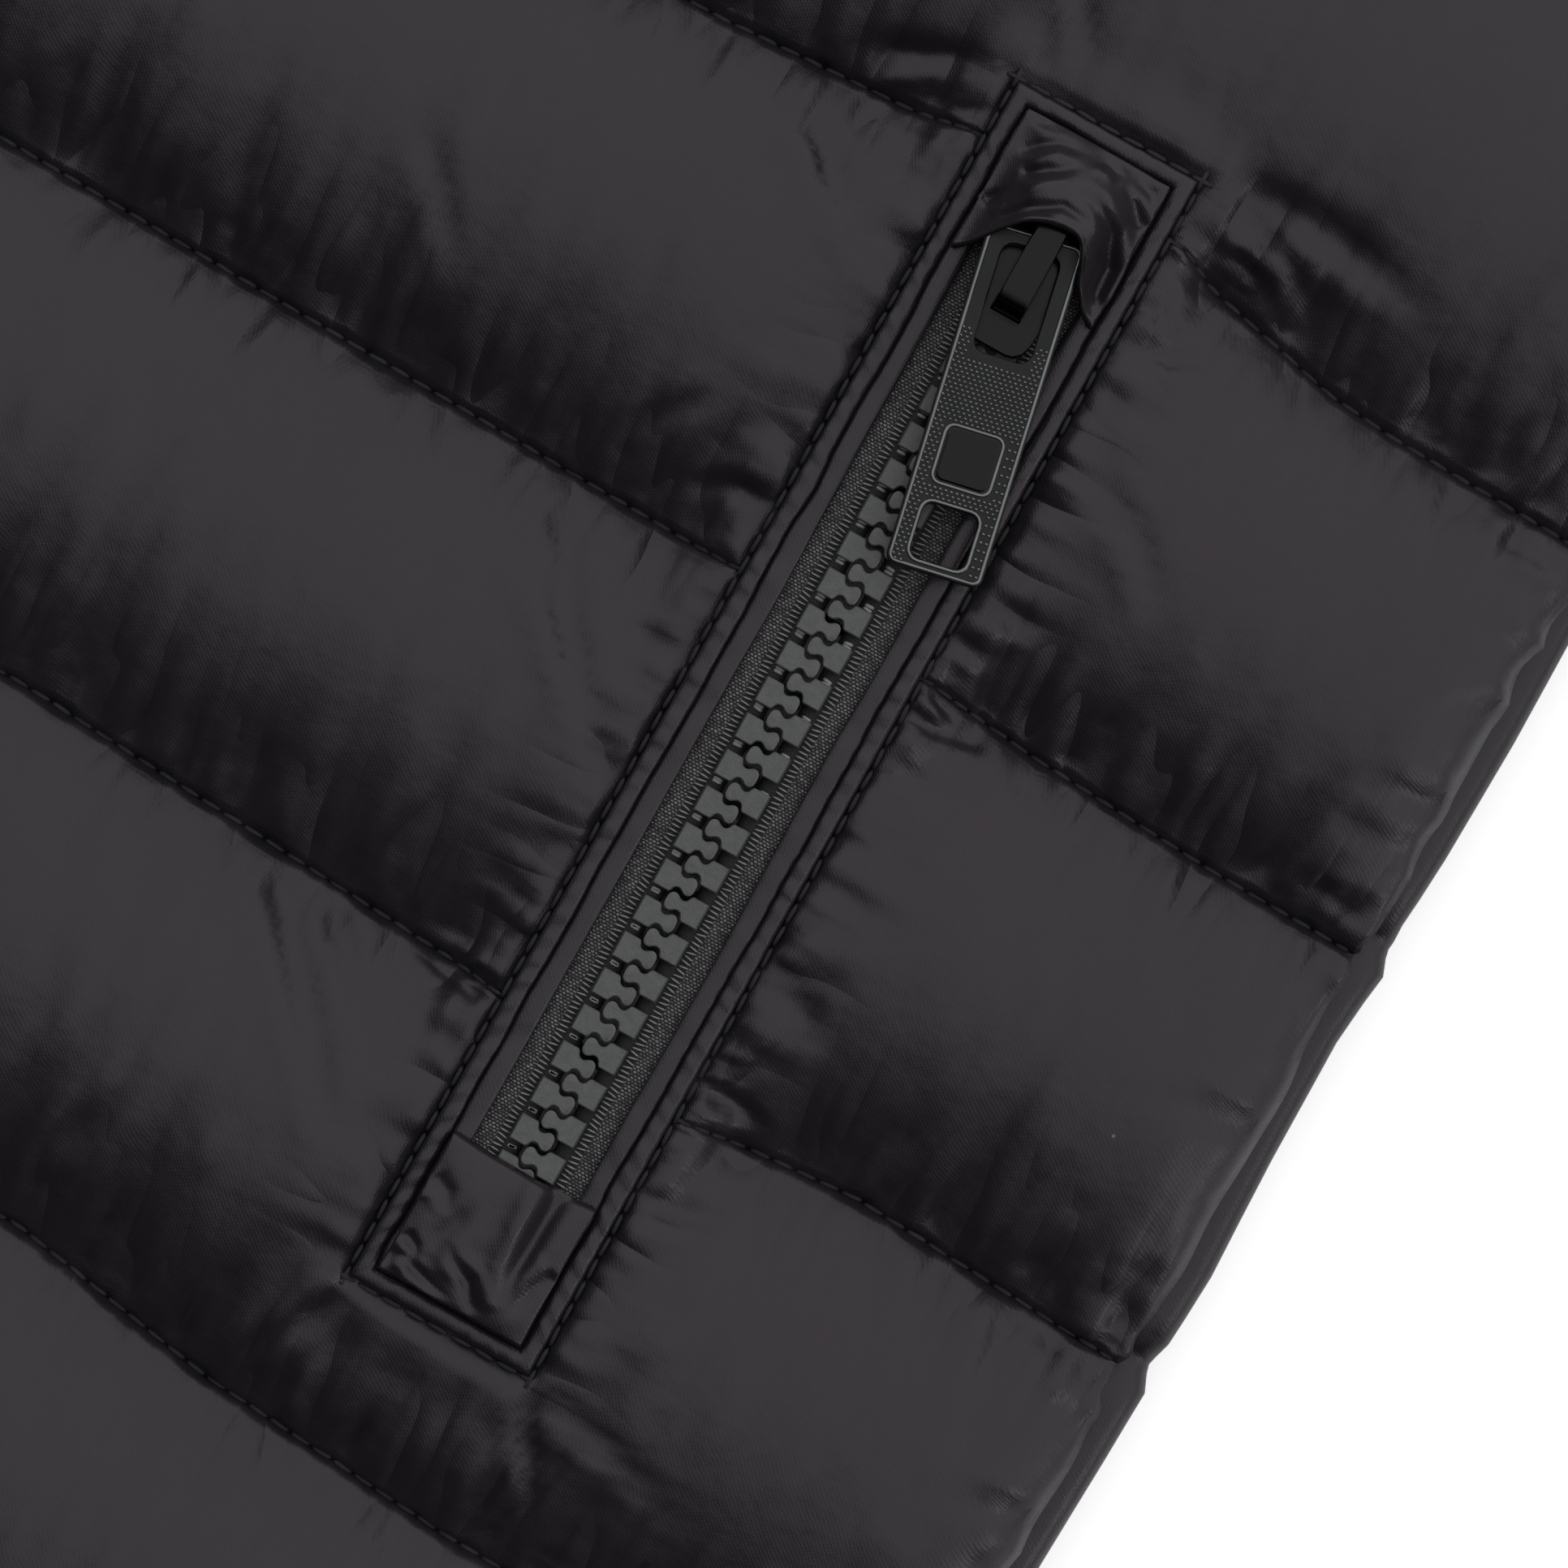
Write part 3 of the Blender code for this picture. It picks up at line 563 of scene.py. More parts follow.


# --- Creases laid one by one -------------------------------------------------------------------

# Round the left pocket: the path of each fold (across, up), its width and its depth
CREASES = [
    ([(180, 227.4), (190.9, 218.1), (196.6, 211.4)], 1.5, 0.8),
    ([(177.7, 182.1), (184.4, 172.2), (197.7, 157)], 1.6, 0.9),
    ([(175.9, 177.4), (187, 168), (198, 158.1)], 1.3, 0.6),
    ([(170.9, 136.9), (183.4, 123.1), (194.1, 110.9)], 1.7, 0.9),
    ([(178, 136), (186, 128), (192, 121)], 1.3, 0.6),
    ([(219, 104), (227.2, 88.6)], 1.1, 0.9),
    ([(219, 104), (229, 102.5), (240.3, 99.1)], 1.3, 0.8),
    ([(199.2, 103.8), (192.5, 89.9)], 1.2, 0.9),
    ([(218.6, 216.4), (222, 216.2), (229, 217.4)], 1.2, 1.0),
    ([(218.6, 213.5), (224, 213)], 0.9, 0.6),
    ([(219.5, 210.3), (228.9, 206.2), (237.2, 198.2)], 1.3, 0.9),
    ([(269.3, 209.3), (261, 207.9)], 1.1, 0.9),
    ([(269.2, 198.3), (259, 197.5)], 1.2, 0.9),
    ([(269.3, 161.7), (255.5, 160.1)], 1.2, 0.8),
    ([(269.3, 117), (258, 116)], 1.2, 0.8),
    ([(181.5, 234.9), (190, 238.4), (197.1, 240.2)], 1.4, 0.9),
    ([(196.5, 252), (201.9, 242.9)], 1.3, 1.0),
    ([(219, 241), (230.7, 241.6), (245.4, 239.5)], 2.2, 1.1),
    ([(221, 239), (229, 237.5), (234, 232.5)], 1.2, 0.9),
    ([(223, 236), (229, 233.6)], 0.9, 0.6),
    ([(198, 170.9), (199.8, 158.2)], 1.0, 0.6),
    ([(137, 173.3), (140.6, 160.7)], 1.3, 0.5),
    ([(185.4, 197.5), (180.2, 189)], 1.1, 0.5),
    ([(148, 207), (156, 198), (160, 190)], 1.4, 0.5),
]


def normals_of(points):
    along = np.gradient(points, axis=0)
    across = np.gradient(points, axis=1)
    normals = np.cross(across, along)
    return normals / np.maximum(1e-9, np.linalg.norm(normals, axis=-1, keepdims=True))


def fold(x, y, path, width, depth):
    """How far a fold moves the cloth: a valley along a path with a low ridge beside it."""
    path = np.asarray(path, float)
    moved = np.zeros_like(x)
    near = (x > path[:, 0].min() - 8) & (x < path[:, 0].max() + 8)
    near &= (y > path[:, 1].min() - 8) & (y < path[:, 1].max() + 8)
    px, py = x[near], y[near]
    lengths = np.hypot(*np.diff(path, axis=0).T)
    whole, run = lengths.sum(), 0.0
    best, across, along = np.full(px.shape, 1e9), np.zeros(px.shape), np.zeros(px.shape)
    for k, piece in enumerate(lengths):
        (ax, ay), (bx, by) = path[k], path[k + 1]
        dx, dy = (bx - ax) / piece, (by - ay) / piece
        at = np.clip((px - ax) * dx + (py - ay) * dy, 0, piece)
        ox, oy = px - ax - at * dx, py - ay - at * dy
        distance = np.hypot(ox, oy)
        closer = distance < best
        best = np.where(closer, distance, best)
        across = np.where(closer, np.sign(ox * dy - oy * dx) * distance, across)
        along = np.where(closer, (run + at) / whole, along)
        run += piece
    taper = ease(along / 0.15) * ease((1 - along) / 0.6)
    wide = width * (0.55 + 0.45 * (1 - along))
    valley = -np.exp(-((across / wide) ** 2))
    ridge = 0.55 * np.exp(-(((across - 1.9 * wide) / (1.1 * wide)) ** 2))
    moved[near] = depth * taper * (valley + ridge)
    return moved


def bunches(x, seed, spacing):
    """Round bunches of many sizes, 0 on a bunch and up to 1 in the sharp valley beside it."""
    random = np.random.default_rng(seed)
    count = int((x.max() - x.min()) / spacing * 1.6) + 8
    edges = x.min() + np.cumsum(spacing * (0.4 + 1.5 * random.random(count) ** 1.5))
    index = np.searchsorted(edges, x)
    low = np.where(index > 0, edges[np.maximum(index - 1, 0)], x.min() - spacing)
    high = edges[np.minimum(index, len(edges) - 1)]
    part = np.clip((x - low) / (high - low), 0, 1)
    size = 0.25 + 0.75 * random.random(len(edges) + 1)
    size = np.where(part < 0.5, size[index], size[np.minimum(index + 1, len(edges))])
    return size * (1 - np.sqrt(np.clip(1 - (2 * part - 1) ** 2, 0, 1)))


GATHER_REACH = 34.0  # how far from a seam its gathers may show
GATHER_STRENGTHS = ((1, 1.35), (-1, 0.55))  # above a seam, and below it
GATHER_SIZES = (  # the width of a bunch, how deep it is and how far from the seam it reaches
    (1.0, 0.45, 5.0), (2.2, 1.0, 10.5), (5.0, 1.35, 21.0),
)
FINE_GATHERS, COARSE_GATHERS = 2.6, 5.5


def gathered(points, lines, seed, finest):
    """How far the cloth sinks between the bunches that are gathered into each seam."""
    x, y = points[..., 0], points[..., 1]
    moved = np.zeros_like(x)
    for number, line in enumerate(lines):
        away = y - np.interp(x, line[:, 0], line[:, 1])
        for way, strength in GATHER_STRENGTHS:
            far = way * away
            near = (far > 0) & (far < GATHER_REACH)
            if not near.any():
                continue
            px, far = x[near], far[near]
            key = seed + 20 * number + 7 * (way > 0)
            px = px - far * 0.5 * (uneven(key, px, far, 22.0, 60.0) - 0.45)
            deep = 0.0
            for more, (wide, depth, reach) in enumerate(GATHER_SIZES, 1):
                deep = deep + depth * bunches(px, key + more, finest * wide) * np.exp(-((far / reach) ** 2))
            moved[near] -= strength * (1 - np.exp(-far / 1.1)) * deep
    return moved


def puckers(points, seed):
    """Short folds that leave the pocket's frame and the side seam at right angles."""
    random = np.random.default_rng(seed)
    x, y = points[..., 0], points[..., 1]
    moved = np.zeros_like(x)
    beside = POCKET_WIDE / 2 + 0.4
    pocket = (POCKET_TOP_UP - POCKET_LONG + 2, POCKET_TOP_UP - 2, 1.0)
    starts = (
        (POCKET_ACROSS - beside, -1, *pocket),
        (POCKET_ACROSS + beside, 1, *pocket),
        (SIDE - 0.6, -1, FINE_LOW + 3, FINE_HIGH - 3, 0.35),
    )
    for start, way, low, high, strength in starts:
        up = low
        while up < high:
            long = 3 + 11 * random.random() ** 2.2
            rise = random.normal(0, 0.22) * long
            end = start + way * long
            path = [(start, up), (start + way * long / 2, up + rise * 0.4), (end, up + rise)]
            deep = strength * (0.35 + 0.65 * random.random()) * (0.6 + long / 20)
            moved += fold(x, y, path, 0.55 + 0.5 * random.random() + long / 25, deep)
            up += 1.6 + 3.6 * random.random()
    return moved


# --- The padded pieces ------------------------------------------------------------------------

FINE_FROM, FINE_LOW, FINE_HIGH = 96.0, FIRST_QUILT, FIRST_QUILT + 5 * QUILT_PITCH
FRONT_LINES = seam_lines(FIRST_QUILT, FRONT[0].up, FRONT[-1].up)
SLEEVE_LINES = seam_lines(SLEEVE_FIRST_QUILT - SLEEVE_LENGTH, -SLEEVE_LENGTH, SLEEVE[-1].up)
HOOD_LINES = seam_lines(FIRST_QUILT, HOOD_FOOT_UP, HOOD[-1].up)
COLLAR_LINES = [COLLAR[0].up, 618.0, COLLAR_TOP_UP]
SEWN = {}  # each padded piece's quilting seams, for the stitches


def sewn_lines(points, rows, place, clear=None):
    """The quilting seams of a let-out piece, as lines of points between its edges."""
    lines = []
    for row in np.flatnonzero(rows.seam)[1:-1]:
        line = points[row][1:-1]
        runs = [line]
        if clear is not None:
            away = clear(line[:, 0], line[:, 1]) > 0.6
            cut = np.flatnonzero(np.diff(away.astype(int))) + 1
            runs = [run for run, keep in zip(np.split(line, cut), np.split(away, cut)) if keep.all()]
        lines += [(run, place) for run in runs if len(run) > 2]
    return lines


def front_window(step):
    """The fine part of the left front, round its pocket."""
    lines = [FINE_LOW + k * QUILT_PITCH for k in range(6)]
    rows = rows_between(lines, step, 0.6)
    columns = np.linspace(0, 1, round((SIDE - FINE_FROM) / step) + 1)
    table = [Span(span.up, FINE_FROM, span.outer) for span in FRONT[2:4]]
    settings = padding_settings()
    cloth = patch(table, rows, columns, settings.seed, NOTCHED_UP, True)
    unrounded = 1 - rounded(cloth.points[..., 0] - FINE_FROM)
    cloth.points[..., 2] += settings.puff / MM * bulge(rows) * unrounded
    return rows, cloth


def fine_front(window, window_rows, rest, rest_rows, rest_columns):
    """The left front: fine round the pocket, coarse elsewhere, on one grid."""
    part = (FINE_FROM - ZIP_EDGE) / (SIDE - ZIP_EDGE)
    coarse = rest_columns[rest_columns < part - 0.004]
    fine = np.linspace(part, 1, window.shape[1])
    columns = np.concatenate([coarse, fine]) * (len(rest_columns) - 1)
    before = rest_rows.up < FINE_LOW - 0.1
    after = rest_rows.up > FINE_HIGH + 0.1
    index = np.arange(len(rest_rows.up), dtype=float)
    low, high = index[before], index[after]
    middle = np.linspace(low[-1] + 1, high[0] - 1, window.shape[0])
    grid = resampled(rest, np.concatenate([low, middle, high]), columns)
    blend = ease((window[..., 0] - FINE_FROM) / 12.0)[..., None]
    place = np.s_[len(low) : len(low) + window.shape[0], len(coarse) :]
    grid[place] = grid[place] * (1 - blend) + window * blend
    seam = np.concatenate([rest_rows.seam[before], window_rows.seam, rest_rows.seam[after]])
    up = np.concatenate([rest_rows.up[before], window_rows.up, rest_rows.up[after]])
    return grid, Rows(up, None, None, seam)


def seams_of(points, rows):
    return [points[row] for row in np.flatnonzero(rows.seam)[1:-1]]


MARK_REACHES = 10.0, 6.5  # of the fine gathers above a seam, and below it


def mark_gathers(obj, shape, rows, clear):
    """Mark on a piece where its finish shows fine gathers: at the seams and beside a pocket."""
    x, y = shape[..., 0], shape[..., 1]
    seam = np.zeros_like(x)
    for line in seams_of(shape, rows):
        away = y - np.interp(x, line[:, 0], line[:, 1])
        far = np.abs(away)
        reach = np.where(away > 0, *MARK_REACHES)
        seam = np.maximum(seam, (1 - np.exp(-far / 0.8)) * np.exp(-((far / reach) ** 2)))
    side = np.zeros_like(x)
    if clear is not None:
        level = np.abs(y - POCKET_TOP_UP + POCKET_LONG / 2) < POCKET_LONG / 2
        side = 0.8 * (1 - seam) * np.exp(-((clear(x, y) / 7.0) ** 2)) * level
        seam *= ease(clear(x, y) / 4.0)
    mesh = obj.data
    beyond = len(mesh.vertices) - x.size
    for name, values in (("seam_gathers", seam), ("side_gathers", side)):
        values = np.concatenate([values.reshape(-1), np.zeros(beyond)])
        mesh.attributes.new(name, "FLOAT", "POINT").data.foreach_set("value", values.astype(np.float32))
    own = np.zeros((len(mesh.vertices), 3), np.float32)
    own[: x.size, 0], own[: x.size, 1] = x.reshape(-1) * MM, y.reshape(-1) * MM
    mesh.attributes.new("own_place", "FLOAT_VECTOR", "POINT").data.foreach_set("vector", own.reshape(-1))


NOTCHED_UP = 400.0  # the side seam's edge is drawn in up to here
KINDS = (  # name, place, outline, seams, width, up to where its edge is drawn in, has a pocket
    ("front_{}", BODY, FRONT, FRONT_LINES, SIDE - ZIP_EDGE, NOTCHED_UP, True),
    ("sleeve_{}_top", SLEEVE_PLACE, SLEEVE, SLEEVE_LINES, 160, 130, False),
    ("hood_{}", BODY, HOOD, HOOD_LINES, 95, 940, False),
    ("collar_{}", BODY, COLLAR, COLLAR_LINES, 88, -math.inf, False),
)
CLOTH_SCALE, WINDOW_SCALE = 12.0, 20.0  # the cloth is let out at so many times its size
WELT_BESIDE = 1.2  # the cloth stands up so much beside the pocket's frame


def planned(coarse, seed):
    """The name, place, rows, columns and flat cloth of every padded piece."""
    for word, side in SIDES:
        for number, (name, places, table, lines, wide, notched, pocket) in enumerate(KINDS, 1):
            rows = rows_between(lines, coarse)
            columns = np.linspace(0, 1, max(5, round(wide / coarse)) + 1)
            key = seed + (0 if side > 0 else 100) + number
            yield name.format(word), places[side], rows, patch(table, rows, columns, key, notched, pocket)


def gathered_in(shape, rows, clear, seed, detailed):
    """A let-out piece with its gathers, its creases and its grooved seams."""
    moved = gathered(shape, seams_of(shape, rows), seed, FINE_GATHERS if detailed else COARSE_GATHERS)
    x, y = shape[..., 0], shape[..., 1]
    if detailed:
        moved += puckers(shape, padding_settings().seed + 9)
        for crease in CREASES:
            moved += fold(x, y, *crease)
    if clear is not None:
        moved *= ease(clear(x, y) / 1.5)
    rim = np.minimum(np.arange(shape.shape[1]), np.arange(shape.shape[1])[::-1])
    moved *= np.clip(rim / 2.0, 0, 1)[None, :]
    shape = shape + normals_of(shape) * moved[..., None]
    shape[rows.seam, 1:-1, 2] -= GROOVE
    if detailed:
        away = clear(shape[..., 0], shape[..., 1])
        shape[..., 2] += WELT_BESIDE * ease((away - 0.3) / 0.8) * (1 - ease((away - 1) / 6))
    shape[..., 2] = np.maximum(shape[..., 2], FRONT_Z + SEAM_THICK * 0.6)
    return shape


def make_padded():
    """Let out every padded piece of the upper layer and close each over its plain inside."""
    settings = padding_settings()
    plans = list(planned(settings.coarse_step / MM, settings.seed))
    shapes = let_out([plan[-1] for plan in plans], CLOTH_SCALE)
    window_rows, window = front_window(settings.fine_step / MM)
    window_shape = let_out([window], WINDOW_SCALE)[0]
    for number, ((name, place, rows, _), shape) in enumerate(zip(plans, shapes)):
        shape, rows = finer(shape, rows)
        clear = beside_pocket if name.startswith("front") else None
        detailed = name == "front_left"
        if detailed:
            columns = np.linspace(0, 1, shape.shape[1])
            shape, rows = fine_front(window_shape, window_rows, shape, rows, columns)
        shape = gathered_in(shape, rows, clear, settings.seed + 300 * number, detailed)
        SEWN[name] = sewn_lines(shape, rows, place, clear)
        seams = np.flatnonzero(rows.seam)
        obj = over_plain_inside("padded_" + name, shape, FRONT_Z, place, materials()["cloth"], seams)
        mark_gathers(obj, shape, rows, clear)
        on_jacket(obj, name)


# --- The layer underneath ------------------------------------------------------------------------


# Round an edge of the layer underneath: in from the edge, and up from the surface
UNDER_EDGE = [
    (5.0, 0.0), (2.2, 0.3), (0.9, 1.1), (0.2, 2.6), (0.0, 4.6), (0.1, 6.6), (0.45, 8.1), (1.1, 9.2),
    (2.1, 9.8), (3.4, 10.0),
]
UNDER_STEP, UNDER_CROWD, UNDER_GROOVE, UNDER_GROOVE_WIDE = 4.0, 0.8, 2.6, 5.0
FOOT_IN, TOP_IN = 5.0, 4.0  # the flat faces stay so far inside the edge
CRINKLE, SQUEEZE = 0.4, 0.3  # the edge wanders by so much, and is so much flatter at a seam
SHARES = np.linspace(0, 1, 19)[1:-1]


def underlayer(name, node, inner, outer, lines, place, notched_to=math.inf, quilted_top=0.0):
    """A padded layer that lies flat: grooved at its seams below, rounded at its edges."""
    rows = rows_between(lines, UNDER_STEP, UNDER_CROWD)
    nearest = np.abs(rows.up[:, None] - np.array(lines[1:-1])[None, :]).min(1)
    pinch = (1 - ease(nearest / NOTCH_REACH)) * (rows.up < notched_to)
    random = np.random.default_rng(len(name))
    crinkle = np.array([wander(random, len(rows.up), cell, CRINKLE) for cell in (2, 3)])
    middle = BACK_THICK / 2
    loops = []
    for k, y in enumerate(rows.up):
        low, high, deep = inner(y), outer(y), pinch[k]
        wavy = crinkle[:, k] * (1 - deep)
        groove = UNDER_GROOVE * (1 - ease(nearest[k] / UNDER_GROOVE_WIDE))
        top = BACK_THICK - quilted_top * groove / UNDER_GROOVE
        edge = [(d + NOTCH * deep, middle + (z - middle) * (1 - SQUEEZE * deep)) for d, z in UNDER_EDGE]
        loops.append([(x, y, z) for x, z in (
            *[(low + FOOT_IN + (high - low - 2 * FOOT_IN) * s, groove) for s in SHARES],
            *[(high - d + wavy[0], z) for d, z in edge],
            *[(high - TOP_IN - (high - low - 2 * TOP_IN) * s, top) for s in SHARES],
            *[(low + d + wavy[1], z) for d, z in reversed(edge)],
        )])
    obj = swept(name, loops, place, materials()["cloth"], turned=True)
    on_jacket(obj, node)


BACK_PEEK, BACK_PEEK_TOP = 3.4, 0.8  # the back stands out beside the side seam, and at the shoulder
HOOD_UNDER_UP = BACK_NECK_UP + 0.5
HOOD_EDGE = [
    (HOOD_UNDER_UP, 88), (HOOD_FOOT_UP, 95.5), *[(span.up, span.outer + 1.5) for span in HOOD[1:]],
    (LENGTH, 6),
]


def back_edge(y):
    if y > 640:
        return float(np.interp(y, [640, BACK_NECK_UP], [112, 91]))
    peek = BACK_PEEK * (1 - float(ease((y - 400) / 26))) if y < SHOULDER_UP else BACK_PEEK_TOP
    return float(column_of(FRONT, max(y, 3.0), 2)) + peek


def hood_edge(y):
    return float(np.interp(y, *zip(*HOOD_EDGE)))


def make_underlayer():
    """The back, the hood's underside and the sleeves' undersides."""
    lines = [*seam_lines(FIRST_QUILT, 0.0, NECK_UP)[:-1], BACK_NECK_UP]
    underlayer("padded_back", "back", lambda y: -back_edge(y), back_edge, lines, BODY[1], NOTCHED_UP)
    lines = [HOOD_UNDER_UP, *HOOD_LINES[1:-1], LENGTH]
    underlayer(
        "padded_hood_under", "hood_under", lambda y: -hood_edge(y), hood_edge, lines, BODY[1], quilted_top=1.4
    )
    lines = [*SLEEVE_LINES[:-1], SLEEVE[-1].up - 4]
    for word, side in SIDES:
        node = f"sleeve_{word}_under"
        underlayer(
            "padded_" + node, node, lambda y: float(column_of(SLEEVE, y, 1)),
            lambda y: float(column_of(SLEEVE, y, 2)) + 0.8, lines, SLEEVE_PLACE[side],
        )


def stadium(wide, high, radius, steps=3):
    points = []
    for k in range(4):
        cx = (wide / 2 - radius) * (1 if k in (0, 3) else -1)
        cy = (high / 2 - radius) * (1 if k < 2 else -1)
        for step in range(steps + 1):
            angle = math.pi / 2 * (k + step / steps)
            points.append((cx + radius * math.cos(angle), cy + radius * math.sin(angle)))
    return points


def evenly(outline, count):
    """A closed outline as evenly spaced points."""
    outline = np.asarray([*outline, outline[0]], float)
    run = np.concatenate([[0], np.cumsum(np.hypot(*np.diff(outline, axis=0).T))])
    at = np.linspace(0, run[-1], count, endpoint=False)
    return np.stack([np.interp(at, run, outline[:, k]) for k in (0, 1)], -1)


CUFF_POINTS, CUFF_WALL, CUFF_GATHERS, CUFF_INSET = 220, 3.0, 0.7, 1.6
CUFF_STEPS = [  # along the cuff as a share of its length, and how far it is drawn in
    (0.0, 1.0), (0.08, 0.35), (0.2, 0.0), (0.35, 0.15), (0.5, 0.0), (0.65, 0.15), (0.8, 0.0),
    (0.92, 0.35), (1.0, 1.0),
]


def make_cuffs():
    """Each cuff is an elastic band, gathered all round."""
    size = np.array([CUFF_WIDE, CUFF_HIGH])
    outside = evenly(stadium(*size, 3.0), CUFF_POINTS)
    inside = evenly(stadium(*(size - 2 * CUFF_WALL), 1.2), CUFF_POINTS)
    noise = np.tile(np.random.default_rng(12).random(CUFF_POINTS), 3)
    smooth = np.convolve(noise, [0.2, 0.6, 0.2], "same")[CUFF_POINTS : 2 * CUFF_POINTS]
    gathers_deep = np.abs((smooth - 0.5)[:, None] * CUFF_GATHERS)

    def loop(ring, at, lowest=0.0):
        y = -SLEEVE_LENGTH - GAP - at * CUFF_LONG
        return [(x + SLEEVE[0].outer / 2, y, max(lowest, z + CUFF_HIGH / 2)) for x, z in ring]

    loops = []
    for at, in_by in CUFF_STEPS:
        ring = outside * (1 - in_by * CUFF_INSET / size)
        outwards = ring / np.linalg.norm(ring, axis=1)[:, None]
        loops.append(loop(ring - outwards * gathers_deep * (1 if 0 < at < 1 else 0.4), at, 0.02))
    loops += [loop(inside, at) for at in (0.96, 0.04)]
    for word, side in SIDES:
        obj = swept(f"cuff_band_{word}", loops, SLEEVE_PLACE[side], materials()["cloth"], ring=True)
        on_jacket(obj, f"cuff_{word}")


# --- Nodes and their groups -----------------------------------------------------------------------

SOCKETS = {float: "Float", int: "Int", tuple: "Color"}
ANY_COLOUR = (0.0, 0.0, 0.0, 1.0)


def fill(tree, inputs, values):
    """Set a node's inputs, or link those whose value is another node's output."""
    for name, value in dict(values).items():
        if isinstance(value, bpy.types.NodeSocket):
            tree.links.new(value, inputs[name])
        else:
            inputs[name].default_value = value


def add(tree, kind, values=(), **settings):
    """A new node with these settings and inputs. It gives the node's outputs."""
    node = tree.nodes.new(kind if "Node" in kind else "ShaderNode" + kind)
    for name, value in settings.items():
        setattr(node, name, value)
    fill(tree, node.inputs, values)
    return node.outputs


def reckoned(tree, operation, *values, kind="Math"):
    return add(tree, kind, enumerate(values), operation=operation)[0]


def ranged(tree, value, low, high, start=0.0, end=1.0, **settings):
    """A value between two limits, brought to another range."""
    ends = {"Value": value, "From Min": low, "From Max": high, "To Min": start, "To Max": end}
    return add(tree, "MapRange", ends, **settings)[0]


def blended(tree, amount, first, second):
    return add(tree, "Mix", {0: amount, 6: first, 7: second}, data_type="RGBA")[2]


def bumped(tree, height, depth, **below):
    """A normal bent by a height, whose full range is so many metres."""
    return add(tree, "Bump", {"Strength": 1.0, "Distance": depth, "Height": height, **below})["Normal"]


def give_sockets(tree, way, table):
    """Named inputs or outputs of a group: each with its kind, or with its default value."""
    for label, value in table.items():
        kind = value if isinstance(value, str) else SOCKETS[type(value)]
        socket = tree.interface.new_socket(label, in_out=way, socket_type="NodeSocket" + kind)
        if not isinstance(value, str):
            socket.default_value = value


def shader_group(name, inputs, outputs):
    """Turn a function that adds nodes into a shader node group that is built once."""

    def wrap(build):
        def group():
            if name in bpy.data.node_groups:
                return bpy.data.node_groups[name]
            tree = bpy.data.node_groups.new(name, "ShaderNodeTree")
            give_sockets(tree, "INPUT", inputs)
            give_sockets(tree, "OUTPUT", outputs)
            made = build(tree, add(tree, "NodeGroupInput"))
            fill(tree, tree.nodes.new("NodeGroupOutput").inputs, made)
            return tree

        return group

    return wrap


def grouped(tree, group, values):
    return add(tree, "Group", values, node_tree=group())


# --- What repeats along a path -------------------------------------------------------------------

PATH_INPUTS = {
    "Paths": "Geometry", "Piece": "Object", "Spacing": 0.0025, "Uneven Turn": 0.0, "Seed": 1,
    "Finish": "Material",
}


def path_tree():
    """Geometry Nodes that set copies of a piece along paths, a spacing apart."""
    tree = bpy.data.node_groups.new("Pieces along paths", "GeometryNodeTree")
    give_sockets(tree, "INPUT", PATH_INPUTS)
    give_sockets(tree, "OUTPUT", {"Pieces": "Geometry"})
    given = add(tree, "NodeGroupInput")
    curve = add(tree, "GeometryNodeMeshToCurve", {"Mesh": given["Paths"]})["Curve"]
    places = {"Curve": curve, "Length": given["Spacing"]}
    points = add(tree, "GeometryNodeCurveToPoints", places, mode="LENGTH")
    piece = add(tree, "GeometryNodeObjectInfo", {"Object": given["Piece"]})["Geometry"]
    align = "FunctionNodeAlignRotationToVector"
    along = add(tree, align, {"Vector": points["Tangent"]}, axis="X")["Rotation"]
    upright = add(tree, align, {"Rotation": along}, axis="Z", pivot_axis="X")["Rotation"]
    most = given["Uneven Turn"]
    span = {2: reckoned(tree, "MULTIPLY", most, -1.0), 3: most, "Seed": given["Seed"]}
    turn = add(tree, "FunctionNodeRandomValue", span, data_type="FLOAT")[1]
    spin = add(tree, "FunctionNodeEulerToRotation", {0: add(tree, "CombineXYZ", {"Z": turn})[0]})[0]
    both = {"Rotation": upright, "Rotate By": spin}
    turned = add(tree, "FunctionNodeRotateRotation", both, rotation_space="LOCAL")["Rotation"]
    copies = {"Points": points["Points"], "Instance": piece, "Rotation": turned}
    made = add(tree, "GeometryNodeInstanceOnPoints", copies)["Instances"]
    made = add(tree, "GeometryNodeRealizeInstances", {"Geometry": made})["Geometry"]
    made = add(tree, "GeometryNodeSetMaterial", {"Geometry": made, "Material": given["Finish"]})["Geometry"]
    fill(tree, tree.nodes.new("NodeGroupOutput").inputs, {"Pieces": made})
    return tree


